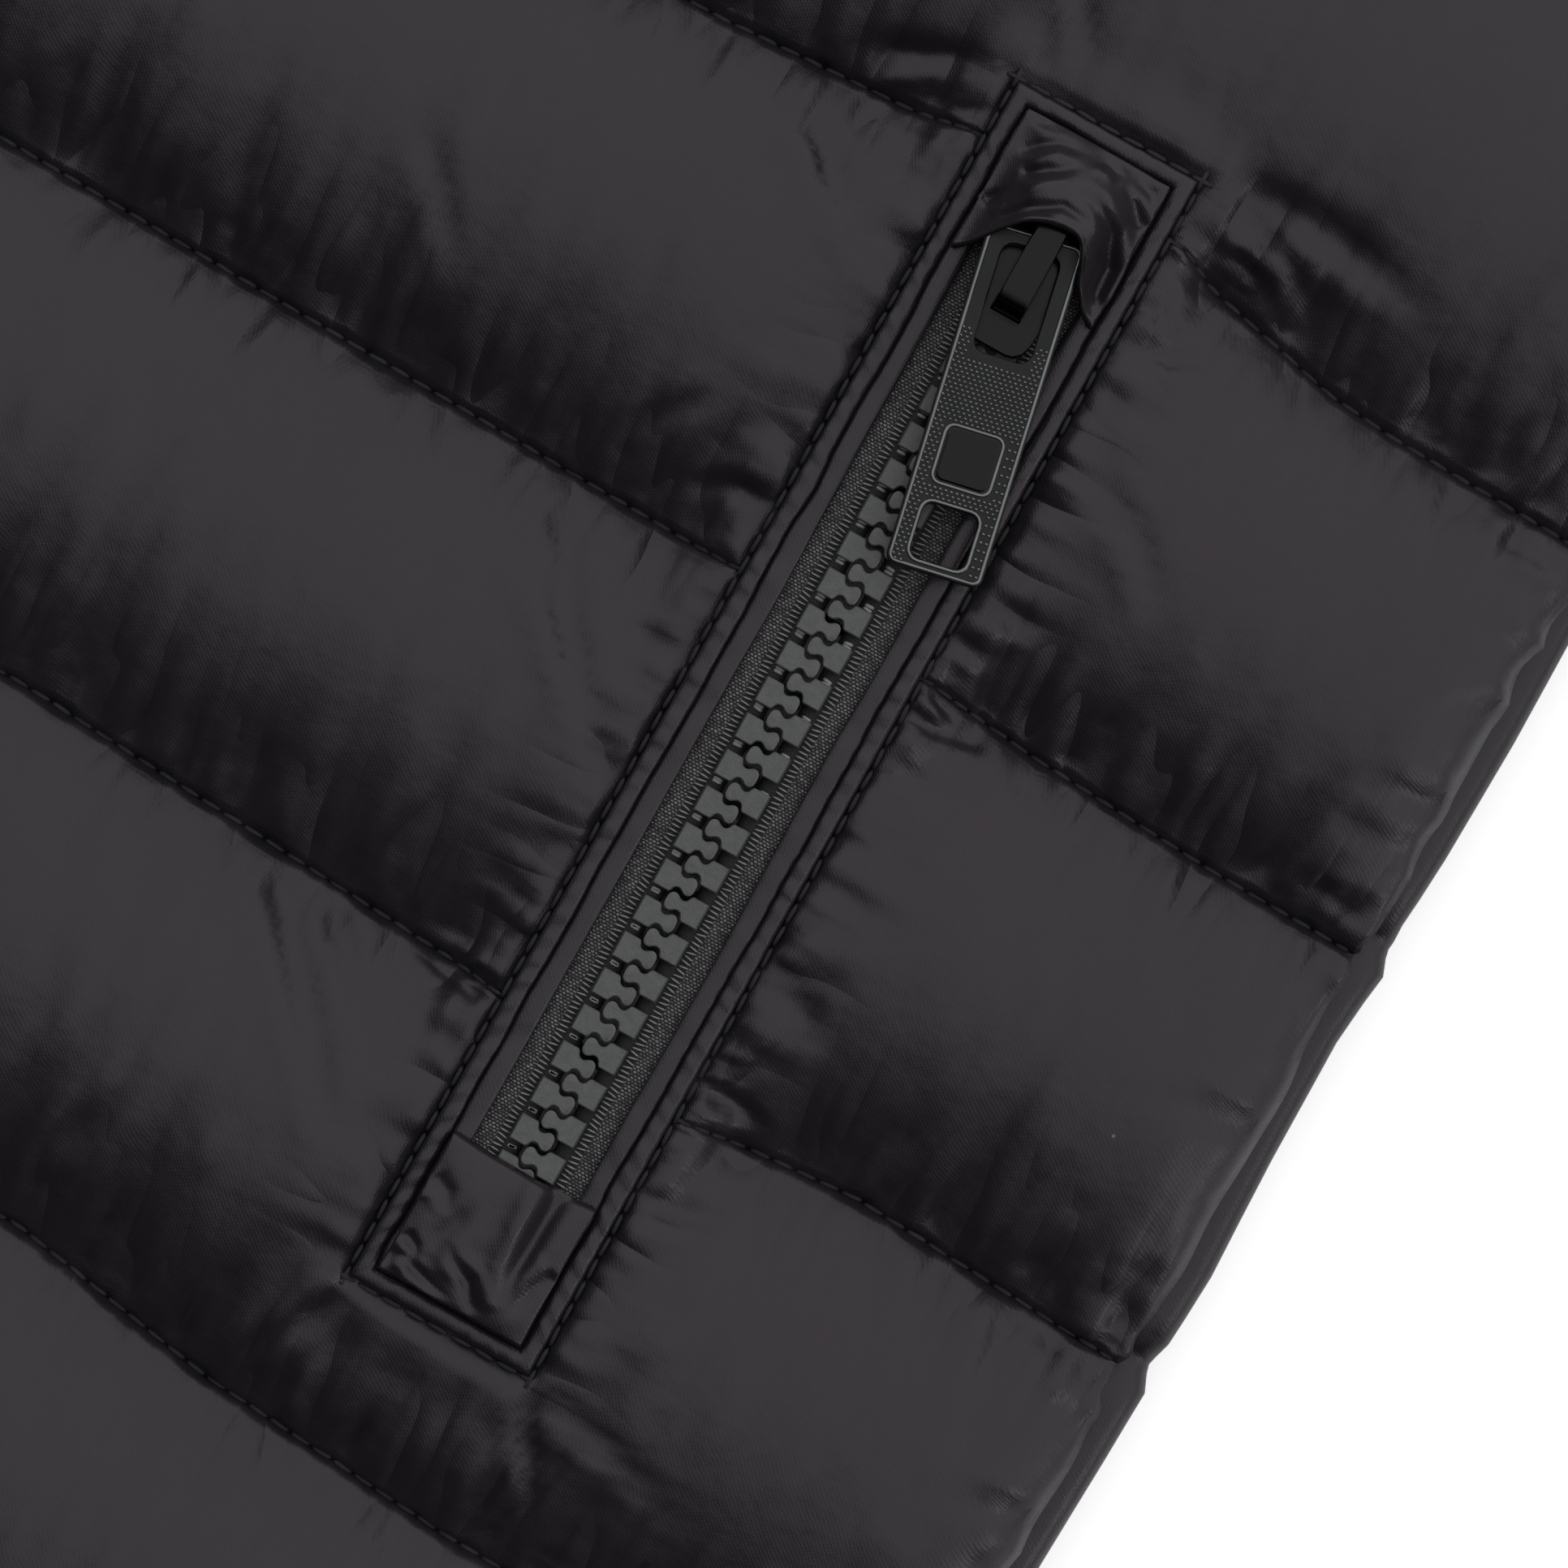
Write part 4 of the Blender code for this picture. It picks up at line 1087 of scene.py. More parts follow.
def along_paths(name, paths, piece, spacing, material, uneven_turn=0.0, seed=1, sharp=180):
    """Copies of a small piece along lines of world points, as one plain mesh."""
    tree = bpy.data.node_groups.get("Pieces along paths") or path_tree()
    edges, start = [], 0
    for path in paths:
        edges += [(start + k, start + k + 1) for k in range(len(path) - 1)]
        start += len(path)
    mesh = bpy.data.meshes.new(name)
    mesh.from_pydata(np.concatenate(paths).tolist(), edges, [])
    obj = added(bpy.data.objects.new(name, mesh))
    modifier = obj.modifiers.new("Pieces", "NODES")
    modifier.node_group = tree
    values = {"Piece": piece, "Spacing": spacing, "Uneven Turn": uneven_turn, "Seed": seed}
    values["Finish"] = material
    for item in tree.interface.items_tree:
        if item.item_type == "SOCKET" and item.in_out == "INPUT" and item.name in values:
            modifier[item.identifier] = values[item.name]
    bpy.context.view_layer.update()
    result = bpy.data.meshes.new_from_object(obj.evaluated_get(bpy.context.evaluated_depsgraph_get()))
    result.shade_smooth()
    result.set_sharp_from_angle(angle=math.radians(sharp))
    obj.modifiers.clear()
    obj.data = result
    return obj


def from_bmesh(name, bm):
    bmesh.ops.recalc_face_normals(bm, faces=bm.faces)
    mesh = bpy.data.meshes.new(name)
    bm.to_mesh(mesh)
    bm.free()
    return added(bpy.data.objects.new(name, mesh))


def small_piece(name, build, turn=0):
    """A small mesh, in metres, to be set along paths. It is taken away at the end."""
    found = bpy.data.objects.get(name)
    if found:
        return found
    bm = bmesh.new()
    build(bm)
    bmesh.ops.rotate(bm, verts=bm.verts, cent=(0, 0, 0), matrix=Matrix.Rotation(math.radians(turn), 3, "Z"))
    obj = from_bmesh(name, bm)
    obj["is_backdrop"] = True
    return obj


def skin(bm, loops):
    """Join loops of points, all of one number, and close both ends."""
    loops = [[bm.verts.new(Vector(point) * MM) for point in loop] for loop in loops]
    for low, high in zip(loops, loops[1:]):
        for k in range(len(low)):
            after = (k + 1) % len(low)
            bm.faces.new((low[k], low[after], high[after], high[k]))
    bm.faces.new(loops[0])
    bm.faces.new(loops[-1])


STITCH_SHARE = 0.46  # of the spacing, from a stitch's middle to its end
STITCH_ALONG = ((-1, 0.3, -0.6), (-0.7, 0.9, -0.1), (0.0, 1, 0), (0.7, 0.9, -0.1), (1, 0.3, -0.6))
STITCH_ROUND = ((-0.8, -0.6), (0.8, -0.6), (1, 0.2), (0.5, 0.8), (0, 0.4), (-0.5, 0.8))


def lockstitch(bm):
    """One stitch: two strands that dive into the cloth at both ends."""
    thread = sewing_settings().thread / MM
    long = sewing_settings().stitch / MM * STITCH_SHARE
    skin(bm, [
        [
            (at * long, y * thread / 2 * thick, z * thread * 0.38 * thick + drop * thread)
            for y, z in STITCH_ROUND
        ]
        for at, thick, drop in STITCH_ALONG
    ])


# Half a tooth from above: across from the middle of the chain, and half its width
HALF_TOOTH = [
    (-3.05, 1.28), (-2.98, 1.36), (-1.32, 1.36), (-1.16, 1.26), (-1.04, 1.04), (-0.95, 0.82),
    (-0.78, 0.64), (-0.5, 0.56), (-0.22, 0.62), (0.0, 0.77), (0.22, 0.9), (0.46, 0.95),
    (0.72, 0.88), (0.92, 0.7), (1.03, 0.42), (1.05, 0.15),
]
TOOTH_FOOT, TOOTH_EDGE, TOOTH_INSET, TOOTH_FALL = 0.5, 0.14, 0.12, 0.1


def tooth(bm):
    """A moulded tooth: a body on the tape's cord and a round head towards the other tape."""
    outline = [*HALF_TOOTH, *[(x, -y) for x, y in reversed(HALF_TOOTH)]]
    loops = []
    for z, inset in ((TOOTH_FOOT, 0.0), (CHAIN_TOP - TOOTH_EDGE, 0.0), (CHAIN_TOP, TOOTH_INSET)):
        loop = []
        for k, (x, y) in enumerate(outline):
            ax, ay = outline[k - 1]
            bx, by = outline[(k + 1) % len(outline)]
            nx, ny = by - ay, ax - bx
            size = math.hypot(nx, ny)
            fall = TOOTH_FALL * max(0.0, x) if inset else 0.0
            loop.append((x + nx / size * inset, y + ny / size * inset, z - fall))
        loops.append(loop)
    skin(bm, loops)


def loop_of_yarn(bm):
    """One short loop of the tape's knit, which its finish lightens as painted highlight."""
    sections = ((-0.55, 0.07, 0.05), (-0.3, 0.13, 0.2), (0.3, 0.13, 0.2), (0.55, 0.07, 0.05))
    skin(bm, [[(x, -w, 0), (x, w, 0), (x, 0, h)] for x, w, h in sections])


def cord_stub(bm):
    """A bump of the tape's cord, seen between two teeth."""
    sections = ((-0.5, 0.12, 0.1), (-0.3, 0.2, 0.3), (0.3, 0.2, 0.3), (0.5, 0.12, 0.1))
    skin(bm, [[(x, -w, 0), (x, w, 0), (x, w * 0.7, h), (x, -w * 0.7, h)] for x, w, h in sections])


def relief_scale(bm):
    """One scale of the pull tab's relief, higher towards the tab's foot."""
    pitch = sewing_settings().scale / MM
    ring = [
        (math.cos(angle) * pitch * 0.46, math.sin(angle) * pitch * 0.38)
        for angle in np.linspace(0, 2 * math.pi, 7)[:-1]
    ]
    foot = [(x, y, -0.05) for x, y in ring]
    top = [(x * 0.6, y * 0.55 - 0.05, 0.22 - 0.18 * (y > 0.05)) for x, y in ring]
    skin(bm, [foot, top])


# --- Stitching ---------------------------------------------------------------------------------


def sew(name, lines, lift, seed=1):
    """Lockstitches along lines of points in millimetres, each with its place."""
    paths = [world(line + np.array([0, 0, lift]), place) for line, place in lines]
    piece, spacing = small_piece("stitch_piece", lockstitch), sewing_settings().stitch
    on_jacket(along_paths(name, paths, piece, spacing, materials()["thread"], 0.05, seed))


def make_stitches():
    for k, (name, lines) in enumerate(SEWN.items()):
        if lines:
            sew("stitches_" + name, lines, 0.3, k)


# --- Zips --------------------------------------------------------------------------------------

# Half of the tapes' section: across from the middle of the chain, and up. The cord comes first
TAPE_CORD = [(1.4, 0.45), (1.6, 0.9), (2.1, 1.25), (2.9, 1.3), (3.25, 1.0), (4.5, TAPE_TOP)]
TAPE_REST = [(7.0, TAPE_TOP), (HALF_TAPE - 0.1, 0.8), (HALF_TAPE - 0.1, TAPE_FOOT), (1.5, TAPE_FOOT)]
FRONT_TAPE_REST = [(5.9, TAPE_TOP), (5.95, 0.9), (5.95, TAPE_FOOT), (1.5, TAPE_FOOT)]
TAPE_ROWS = 24
KNIT_SCALE = 100  # from metres to the knit's own units


def tape(name, node, place, tops):
    """The two tapes beside the chain, each with the cord that its teeth are moulded on."""
    top, foot = tops
    rest = FRONT_TAPE_REST if node == "front_zip" else TAPE_REST
    section = [*TAPE_CORD, *rest]
    points, faces, knit = [], [], []
    for way in (-1, 1):
        start, count = len(points), len(section)
        for y in np.linspace(top, foot, TAPE_ROWS):
            points += [(way * x, y, z) for x, z in section]
            knit += [(x * MM, y * MM) for x, z in section]
        made = grid_faces(TAPE_ROWS, count, start, closed=True)
        made.append(tuple(start + k for k in reversed(range(count))))
        made.append(tuple(start + (TAPE_ROWS - 1) * count + k for k in range(count)))
        faces += [tuple(reversed(face)) for face in made] if way < 0 else made
    obj = mesh_object(name, world(points, place), faces, materials()["tape"], -place.side)
    layer = obj.data.uv_layers.new(name="along_tape")
    for loop in obj.data.loops:
        layer.data[loop.index].uv = Vector(knit[loop.vertex_index]) * KNIT_SCALE
    on_jacket(obj, node, slot="zip_tape")


CHAIN_BEGIN, CHAIN_ENDS = 1.4, 3.4  # from the chain's top to its first tooth, and left over in all


def teeth(name, place, tops):
    """A closed chain: the teeth of each tape, half a pitch apart."""
    top, foot = tops
    pitch = sewing_settings().tooth / MM
    count = int((top - foot - CHAIN_ENDS) / pitch)
    for word, shift, turn in (("inner", 0, 90), ("outer", 1, 270)):
        first = top - CHAIN_BEGIN - shift * pitch / 2
        path = world([(0, first, 0), (0, first - (count - shift) * pitch - 0.01, 0)], place)
        piece = small_piece(f"{word}_tooth_piece", tooth, turn)
        row = along_paths(f"{name}_{word}", [path], piece, pitch * MM, materials()["teeth"], sharp=30)
        on_jacket(row, slot="zip_teeth")


RUNG_ACROSS, STUB_ACROSS, STUB_UP = 3.72, 2.35, 1.15
RUNGS_TO_A_TOOTH = 8


def yarn(name, place, tops):
    """The yarn across the tapes beside the teeth, and the cord between the teeth, both lightened as painted
    highlight.
    """
    top, foot = tops
    pitch = sewing_settings().tooth / MM
    rungs, stubs = [], []
    for way in (-1, 1):
        x, z = way * RUNG_ACROSS, TAPE_TOP + 0.02
        rungs.append(world([(x, top - 0.5, z), (x, foot + 0.5, z)], place))
        first = top - CHAIN_BEGIN - pitch / 2 - (pitch / 2 if way > 0 else 0)
        x = way * STUB_ACROSS
        for shift in (-0.3, 0.3):
            stubs.append(world([(x, first + shift, STUB_UP), (x, foot + 2, STUB_UP)], place))
    for word, paths, build, spacing, turn, seed in (
        ("rungs", rungs, loop_of_yarn, pitch / RUNGS_TO_A_TOOTH, 0.22, 4),
        ("cord", stubs, cord_stub, pitch, 0.15, 5),
    ):
        piece = small_piece(word + "_piece", build, 90)
        row = along_paths(f"{name}_{word}", paths, piece, spacing * MM, materials()["yarn"], turn, seed)
        on_jacket(row, slot="zip_tape")


def rounded_copy(name, node, body, material, slot, radius):
    """A hard piece as its solid, with its edges rounded off."""
    bm = bmesh.new()
    bm.from_mesh(frame["nodes"][node].data)
    bmesh.ops.remove_doubles(bm, verts=bm.verts, dist=1e-5)
    bmesh.ops.dissolve_limit(bm, angle_limit=math.radians(2), verts=bm.verts, edges=bm.edges)
    obj = from_bmesh(name, bm)
    obj.data.materials.clear()
    obj.data.materials.append(material)
    bevel = obj.modifiers.new("Rounded edges", "BEVEL")
    bevel.width, bevel.segments, bevel.limit_method = radius * MM, 3, "ANGLE"
    bevel.angle_limit = math.radians(35)
    bevel.use_clamp_overlap = True
    obj.data.shade_smooth()
    obj.modifiers.new("Flat faces", "WEIGHTED_NORMAL").keep_sharp = True
    on_jacket(obj, node, slot=slot, body=body)


def pull_matrix(place, across, down, twist):
    """Where a pull tab hangs: its hinge at the origin and its foot along -y."""
    turn = Matrix.Rotation(place.side * place.turn, 4, "Z")
    base = Matrix.Translation((place.side * place.across, place.up, place.z)) @ turn
    hinge = Matrix.Translation((-place.side * across, -down, HINGE_Z))
    return base @ hinge @ Matrix.Rotation(place.side * twist, 4, "Z") @ Matrix.Rotation(PULL_TILT, 4, "X")


def at_pull(points, matrix):
    points = np.asarray(points, float)
    turned = points @ np.array(matrix.to_3x3()).T + np.array(matrix.translation)
    turned[..., 1] -= LENGTH / 2
    return turned * MM


BEAD_SIDES = 6


def bead(outline, radius, high, matrix, name, material):
    """A thin raised rim along a closed outline, on the tab's upper face."""
    outline = np.asarray(outline, float)
    along = np.roll(outline, -1, 0) - np.roll(outline, 1, 0)
    sideways = np.stack([along[:, 1], -along[:, 0]], 1) / np.linalg.norm(along, axis=1)[:, None]
    loops = []
    for (x, y), (side_x, side_y) in zip(outline, sideways):
        ring = []
        for step in range(BEAD_SIDES):
            angle = math.pi / 3 * step
            out = radius * math.cos(angle)
            ring.append((x + side_x * out, y + side_y * out, high + 0.7 * radius * math.sin(angle)))
        loops.append(ring)
    faces = ring_faces(len(loops), BEAD_SIDES)
    return mesh_object(name, at_pull(np.array(loops), matrix), faces, material, -1)


# On a pull tab: how far below its hinge the middles of its parts are, in millimetres
TAB_MIDDLE, TAB_HOLE, TAB_RECESS = 16.6, 30.0, 22.25
TAB_TOP = 0.8
RIMS = {  # the size of each rim, the radius of its corners and its middle
    "edge": (9.1, 34.1, 0.7, TAB_MIDDLE), "hole": (6.1, 6.1, 1.2, TAB_HOLE),
    "recess": (5.9, 5.9, 0.9, TAB_RECESS),
}
RELIEF_HALF, RELIEF_FROM, RELIEF_TO = 4.25, 9.9, 33.4
SLOT_END, BESIDE_SLOT, BESIDE_HOLES = 12.7, 3.3, 3.4
HALF_RECESS, HALF_HOLE = 3.35, 3.45


def lowered(outline, down):
    return [(x, y - down) for x, y in outline]


def relief_rows(pitch):
    """Rows of scales over the tab, which leave out its slot, its recess and its hole."""
    for k, down in enumerate(np.arange(RELIEF_FROM, RELIEF_TO, pitch * 0.76)):
        places = np.arange(-RELIEF_HALF + (k % 2) * pitch / 2, RELIEF_HALF, pitch)
        keep = np.ones(len(places), bool)
        if down < SLOT_END:
            keep &= np.abs(places) > BESIDE_SLOT
        if abs(down - TAB_RECESS) < HALF_RECESS or abs(down - TAB_HOLE) < HALF_HOLE:
            keep &= np.abs(places) > BESIDE_HOLES
        for run in np.split(places, np.flatnonzero(np.diff(keep.astype(int))) + 1):
            if keep[np.searchsorted(places, run[0])] and len(run) > 1:
                yield [(run[0], -down, TAB_TOP), (run[-1] + 0.01, -down, TAB_TOP)]


def pull_detail(name, matrix, body):
    """The tab's recess, bare of relief and covered by a dark plate as painted shade, and its rims and the
    relief round them, lightened as painted highlight.
    """
    # The rims and relief take a lighter copy of the plated metal as painted highlight.
    material = materials()["pull"]
    made = []
    for word, (wide, high, radius, down) in RIMS.items():
        outline = lowered(stadium(wide, high, radius, 4), down)
        made.append(bead(outline, 0.2, TAB_TOP, matrix, f"{name}_{word}_rim", material))
    plate = lowered(stadium(5.3, 5.3, 0.7, 4), TAB_RECESS)
    inset = [(x * 0.93, (y + TAB_RECESS) * 0.93 - TAB_RECESS) for x, y in plate]
    count = len(plate)
    points = [(x, y, TAB_TOP + 0.01) for x, y in plate] + [(x, y, TAB_TOP + 0.1) for x, y in inset]
    faces = [(k, (k + 1) % count, count + (k + 1) % count, count + k) for k in range(count)]
    faces.append(tuple(range(count, 2 * count)))
    # Painted shade: the recess plate takes the slider's black lacquer, darker than the tab.
    lacquer = materials()["slider"]
    made.append(mesh_object(f"{name}_plain_plate", at_pull(points, matrix), faces, lacquer, smooth=False))
    pitch = sewing_settings().scale / MM
    rows = [at_pull(row, matrix) for row in relief_rows(pitch)]
    piece = small_piece("relief_piece", relief_scale)
    made.append(along_paths(f"{name}_relief", rows, piece, pitch * MM, material))
    for obj in made:
        on_jacket(obj, slot="pull", body=body)


def make_zips():
    """Every zip: tapes, teeth, slider and pull tab."""
    finishes = materials()

    def slider(name, tab, matrix, radius):
        rounded_copy(f"{name}_slider_body", f"{name}_slider", "jacket", finishes["slider"], "slider", radius)
        rounded_copy(f"{name}_pull_tab", f"{name}_pull", tab, finishes["pull_plain"], "pull", 0.22)
        pull_detail(f"{name}_pull", matrix, tab)

    for word, side in SIDES:
        name, place = f"pocket_{word}", POCKET[side]
        tape(f"{name}_tapes", f"{name}_zip", place, (-4.4, -130.2))
        teeth(f"{name}_teeth", place, (-22.0, -126.0))
        yarn(f"{name}_yarn", place, (-9.0, -126.0))
        slider(name, f"{name}_tab", pull_matrix(place, *POCKET_HINGE, POCKET_TWIST), 0.5)
    tape("front_tapes", "front_zip", ZIP, (COLLAR_TOP_UP - 1, 1.5))
    teeth("front_teeth", ZIP, (FRONT_HINGE_UP - 8.5, 4.0))
    front = Place(1, 0.0, FRONT_HINGE_UP, BACK_THICK, 0.0)
    slider("front", "front_tab", pull_matrix(front, 0.0, 0.0, 0.0), 0.35)


# --- The pocket's own cloth -----------------------------------------------------------------------


# The frame's section: inwards from its outer edge, and up from the bed
WELT = [
    (0.0, 0.3), (-0.03, 1.2), (0.03, 1.85), (0.22, 2.25), (0.55, 2.42), (1.0, 2.47), (1.5, 2.42),
    (1.76, 2.2), (1.87, 1.7), (1.9, 1.3), (1.95, 1.7), (2.07, 2.1), (2.35, 2.26), (2.9, 2.3),
    (3.5, 2.28), (3.9, 2.16), (4.12, 1.95), (4.1, 1.6), (3.7, 1.42), (2.7, 1.2), (2.45, 0.9), (2.3, 0.3),
]
WELT_CREASE, WELT_STEP = 1.9, 0.7
WELT_WANDERS = ((7, 0.1), (16, 0.13), (3.5, 0.07))  # of its crease, its inner edge and its height
STITCH_OUT, STITCH_UP = 0.35, 1.15  # its stitches lie so far outside it, and so high
WELT_SIDES = (  # a corner (which side, and 0 at the top or -1 at the foot), and the way inwards
    ((-1, 0), (1, 0)), ((-1, -1), (0, 1)), ((1, -1), (-1, 0)), ((1, 0), (0, -1)),
)


def welt_corner(corner, inwards):
    across, foot = corner
    return np.array([across * (POCKET_WIDE / 2 - inwards), -inwards + foot * (POCKET_LONG - 2 * inwards)])


def make_welt(name, place, seed):
    """The pocket's frame: a stitched rim round it and a smooth facing over the tapes."""
    random = np.random.default_rng(seed)
    loops, lines = [], []
    for k, (first, inward) in enumerate(WELT_SIDES):
        last = WELT_SIDES[(k + 1) % 4][0]
        count = round((POCKET_LONG if first[0] == last[0] else POCKET_WIDE) / WELT_STEP)
        crease, edge, height = (wander(random, count, cell, size) for cell, size in WELT_WANDERS)
        pinch = np.abs(np.sin(np.pi * np.arange(count) * WELT_STEP / 2.5))
        pinch = pinch * (0.12 + 0.22 * random.random(count))
        for step in range(count):
            t = step / count
            ends = float(ease(min(t, 1 - t) * count / 4))
            loop = []
            for inwards, high in WELT:
                start, end = welt_corner(first, inwards), welt_corner(last, inwards)
                shift = ends * (crease[step] * (1.3 < inwards < 2.6) + edge[step] * (inwards >= 3))
                x, y = start + (end - start) * t + np.array(inward) * shift
                rim = inwards < WELT_CREASE and high > 1.2
                z = high + ends * (height[step] * (high > 1.7) + pinch[step] * rim - 0.13 * rim)
                loop.append((x, y, z))
            loops.append(loop)
        a, b = (welt_corner(corner, -STITCH_OUT) for corner in (first, last))
        lines.append((np.linspace((*a, STITCH_UP), (*b, STITCH_UP), 12), place))
    obj = swept(name + "_frame", loops, place, materials()["cloth"], ring=True, turned=True)
    on_jacket(obj, name + "_welt")
    sew(name + "_frame_stitches", lines, 0.2, 40)


def shaped_cloth(name, node, place, surface, thick):
    """A thin closed cloth from its outer surface, in the pocket's own millimetres."""
    normals = normals_of(surface)
    normals *= np.sign(normals[..., 2:3].mean())
    under = surface - normals * thick
    rows, columns = surface.shape[:2]
    count = rows * columns
    faces = grid_faces(rows, columns)
    faces += [tuple(count + i for i in reversed(face)) for face in faces]
    faces += walls(rim_of(rows, columns), lambda k: k + count, lambda k: k)
    points = world(np.concatenate([surface.reshape(-1, 3), under.reshape(-1, 3)]), place)
    obj = mesh_object(name, points, faces, materials()["cloth"], place.side)
    on_jacket(obj, node)


def folded(folds, x, y):
    return sum((fold(x, y, *one) for one in folds), np.zeros_like(x))


# The garage's lip over the slider: across, and down from the pocket's top
GARAGE_LIP = [
    (-7.9, 17.8), (-6.8, 17.0), (-5.8, 16.0), (-4.8, 14.9), (-3.7, 13.8), (-2.4, 12.7), (-0.8, 12.0),
    (0.8, 11.7), (2.2, 11.7), (3.2, 12.3), (3.9, 13.6), (4.7, 15.3), (6.2, 17.2), (7.9, 18.2),
]
GARAGE_START, GARAGE_FOOT, GARAGE_RISE = 2.1, 3.3, 6.5
GARAGE_FOLDS = [
    ([(6.4, -16.4), (6.2, -12), (5.0, -9.3), (2.3, -7.9), (-0.7, -7.6)], 1.25, 1.7),
    ([(-5.7, -14.4), (-3.2, -11.6), (-0.2, -9.7), (2.8, -9.9), (4.2, -12.2)], 0.8, 0.75),
    ([(-5.6, -8.8), (-4.4, -8.0), (-2.4, -6.7), (-0.4, -4.8)], 0.9, 1.1),
    ([(-6.6, -6.6), (-5.4, -5.2), (-3.6, -4.0), (-0.6, -3.8)], 0.8, 0.8),
    ([(7.4, -7.4), (5.6, -5.6), (3.4, -4.6)], 0.9, 0.7),
    ([(-7.4, -12.4), (-6.2, -10.8), (-4.9, -10.4)], 0.8, 0.7),
    ([(4.9, -16.6), (4.5, -14.2), (4.9, -12.2)], 0.7, 0.5),
    ([(1.2, -2.9), (2.8, -3.9), (3.4, -5.8)], 0.7, 0.5),
]
PATCH_TOP, PATCH_FOOT, PATCH_HALF = 116.9, 132.2, 7.9
PATCH_FOLDS = [
    ([(4.3, -114.5), (4.1, -120.2), (4.0, -126), (5.2, -131.6)], 1.4, 1.5),
    ([(-6.8, -129.4), (-4.9, -130.6), (-2.4, -131.2), (0.6, -131.5)], 0.7, 0.5),
    ([(2.6, -131.9), (0.4, -129.2), (-1.9, -127.9), (-3.6, -126.2)], 0.9, 0.55),
    ([(-4.4, -130.2), (-4.0, -126.4), (-2.4, -121)], 1.3, 0.45),
    ([(-7.4, -127.8), (-5.9, -128.6), (-4.9, -130.2)], 0.7, 0.6),
    ([(-7.7, -121.6), (-5.8, -122.4), (-4.6, -124.6)], 1.1, 0.5),
    ([(7.6, -124), (6.4, -126.6), (5.4, -131)], 0.9, 0.6),
]


def make_garage(name, place):
    """The gathered cloth that rises over the slider's head."""
    columns, rows = 80, 74
    knots = [x for x, _ in GARAGE_LIP]
    crowded = np.interp(np.linspace(0, len(knots) - 1, columns), range(len(knots)), knots)
    across = np.linspace(knots[0], knots[-1], columns) * 0.5 + crowded * 0.5
    ends = np.interp(across, *zip(*GARAGE_LIP))
    ends = np.convolve(np.pad(ends, 2, "edge"), np.ones(5) / 5, "valid")
    part = np.linspace(1, 0, rows)[:, None]
    down = GARAGE_START + part * (ends - GARAGE_START)[None, :]
    s = np.repeat(across[None, :], rows, 0)
    ridge = np.cos(np.pi / 2 * np.clip((np.abs(s) - 2.6) / 5.3, 0, 1)) ** 2
    climb = np.sin(np.pi / 2 * np.clip((down - 1.5) / 9.5, 0, 1))
    lip = np.exp(-(((part - 0.96) / 0.03) ** 2)) * 0.35 - np.clip((part - 0.98) / 0.02, 0, 1) * 0.4
    crumple = uneven(31, s + 10, down, 1.8, 1.5) - 0.5
    moved = folded(GARAGE_FOLDS, s, -down)
    moved = moved + crumple * (0.2 + 0.9 * np.exp(-((down - 2.4) / 1.6) ** 2))
    z = GARAGE_FOOT + GARAGE_RISE * ridge * climb + lip
    z = z + moved * np.clip((down - GARAGE_START) / 1.5, 0, 1)
    points = np.stack([s, -down, np.maximum(z, 2.75)], -1)
    shaped_cloth(name + "_gathered_cloth", name + "_garage", place, points, 0.45)


def make_end_tab(name, place):
    """The folded patch sewn over the zip's lower end."""
    rows, columns = 64, 60
    u = np.linspace(-1, 1, columns)[None, :]
    v = np.linspace(1, -1, rows)[:, None]
    s = PATCH_HALF * u + 0 * v
    down = (PATCH_TOP + PATCH_FOOT) / 2 + v * (PATCH_FOOT - PATCH_TOP) / 2
    down = down + 0.3 * (1 - u**2) * (v < 0) * v * v
    crown = (1 - u**4) * (1 - v**4) * 0.9
    roll = -0.9 * np.clip((-v - 0.93) / 0.07, 0, 1) ** 2
    crumple = uneven(32, s + 10, down, 1.7, 1.9) - 0.5
    moved = folded(PATCH_FOLDS, s, -down)
    moved = moved + crumple * (0.12 + 0.7 * np.exp(-(((down - 131) / 2.4) ** 2)) * (s < 1))
    z = 3.7 + crown + roll + moved
    points = np.stack([s, -down, np.maximum(z, 2.7)], -1)
    shaped_cloth(name + "_folded_patch", name + "_end_tab", place, points, 0.7)


def make_pockets():
    for word, side in SIDES:
        name, place = f"pocket_{word}", POCKET[side]
        make_welt(name, place, 60 + side)
        make_garage(name, place)
        make_end_tab(name, place)


# --- Finishes ----------------------------------------------------------------------------------


@shader_group("Twill weave", {"Vector": "Vector", "Threads": 900.0}, {"Height": "Float"})
def weave(tree, given):
    """Twill: fine ribs that lean across the cloth, and the threads between them."""
    waves = []
    for way, distortion in (("DIAGONAL", 0.6), ("X", 0.4)):
        values = {"Scale": given["Threads"], "Distortion": distortion, "Detail": 1.0}
        waves.append(add(tree, "TexWave", {"Vector": given["Vector"], **values}, bands_direction=way)["Fac"])
    return {"Height": reckoned(tree, "MAXIMUM", *waves)}


MOTTLE = {
    "Vector": "Vector", "Colour": ANY_COLOUR, "Second Colour": ANY_COLOUR,
    "Scale": 40.0, "Amount": 0.3, "Roughness": 0.4, "Roughness Change": 0.05,
}


@shader_group("Mottled colour", MOTTLE, {"Colour": "Color", "Roughness": "Float"})
def mottle(tree, given):
    """A colour that wanders a little over the piece, with its roughness."""
    broad = add(tree, "TexNoise", {"Vector": given["Vector"], "Scale": given["Scale"], "Detail": 4.0})
    spread = ranged(tree, broad["Fac"], 0.3, 0.7)
    amount = reckoned(tree, "MULTIPLY", spread, given["Amount"])
    return {
        "Colour": blended(tree, amount, given["Colour"], given["Second Colour"]),
        "Roughness": reckoned(tree, "MULTIPLY_ADD", spread, given["Roughness Change"], given["Roughness"]),
    }


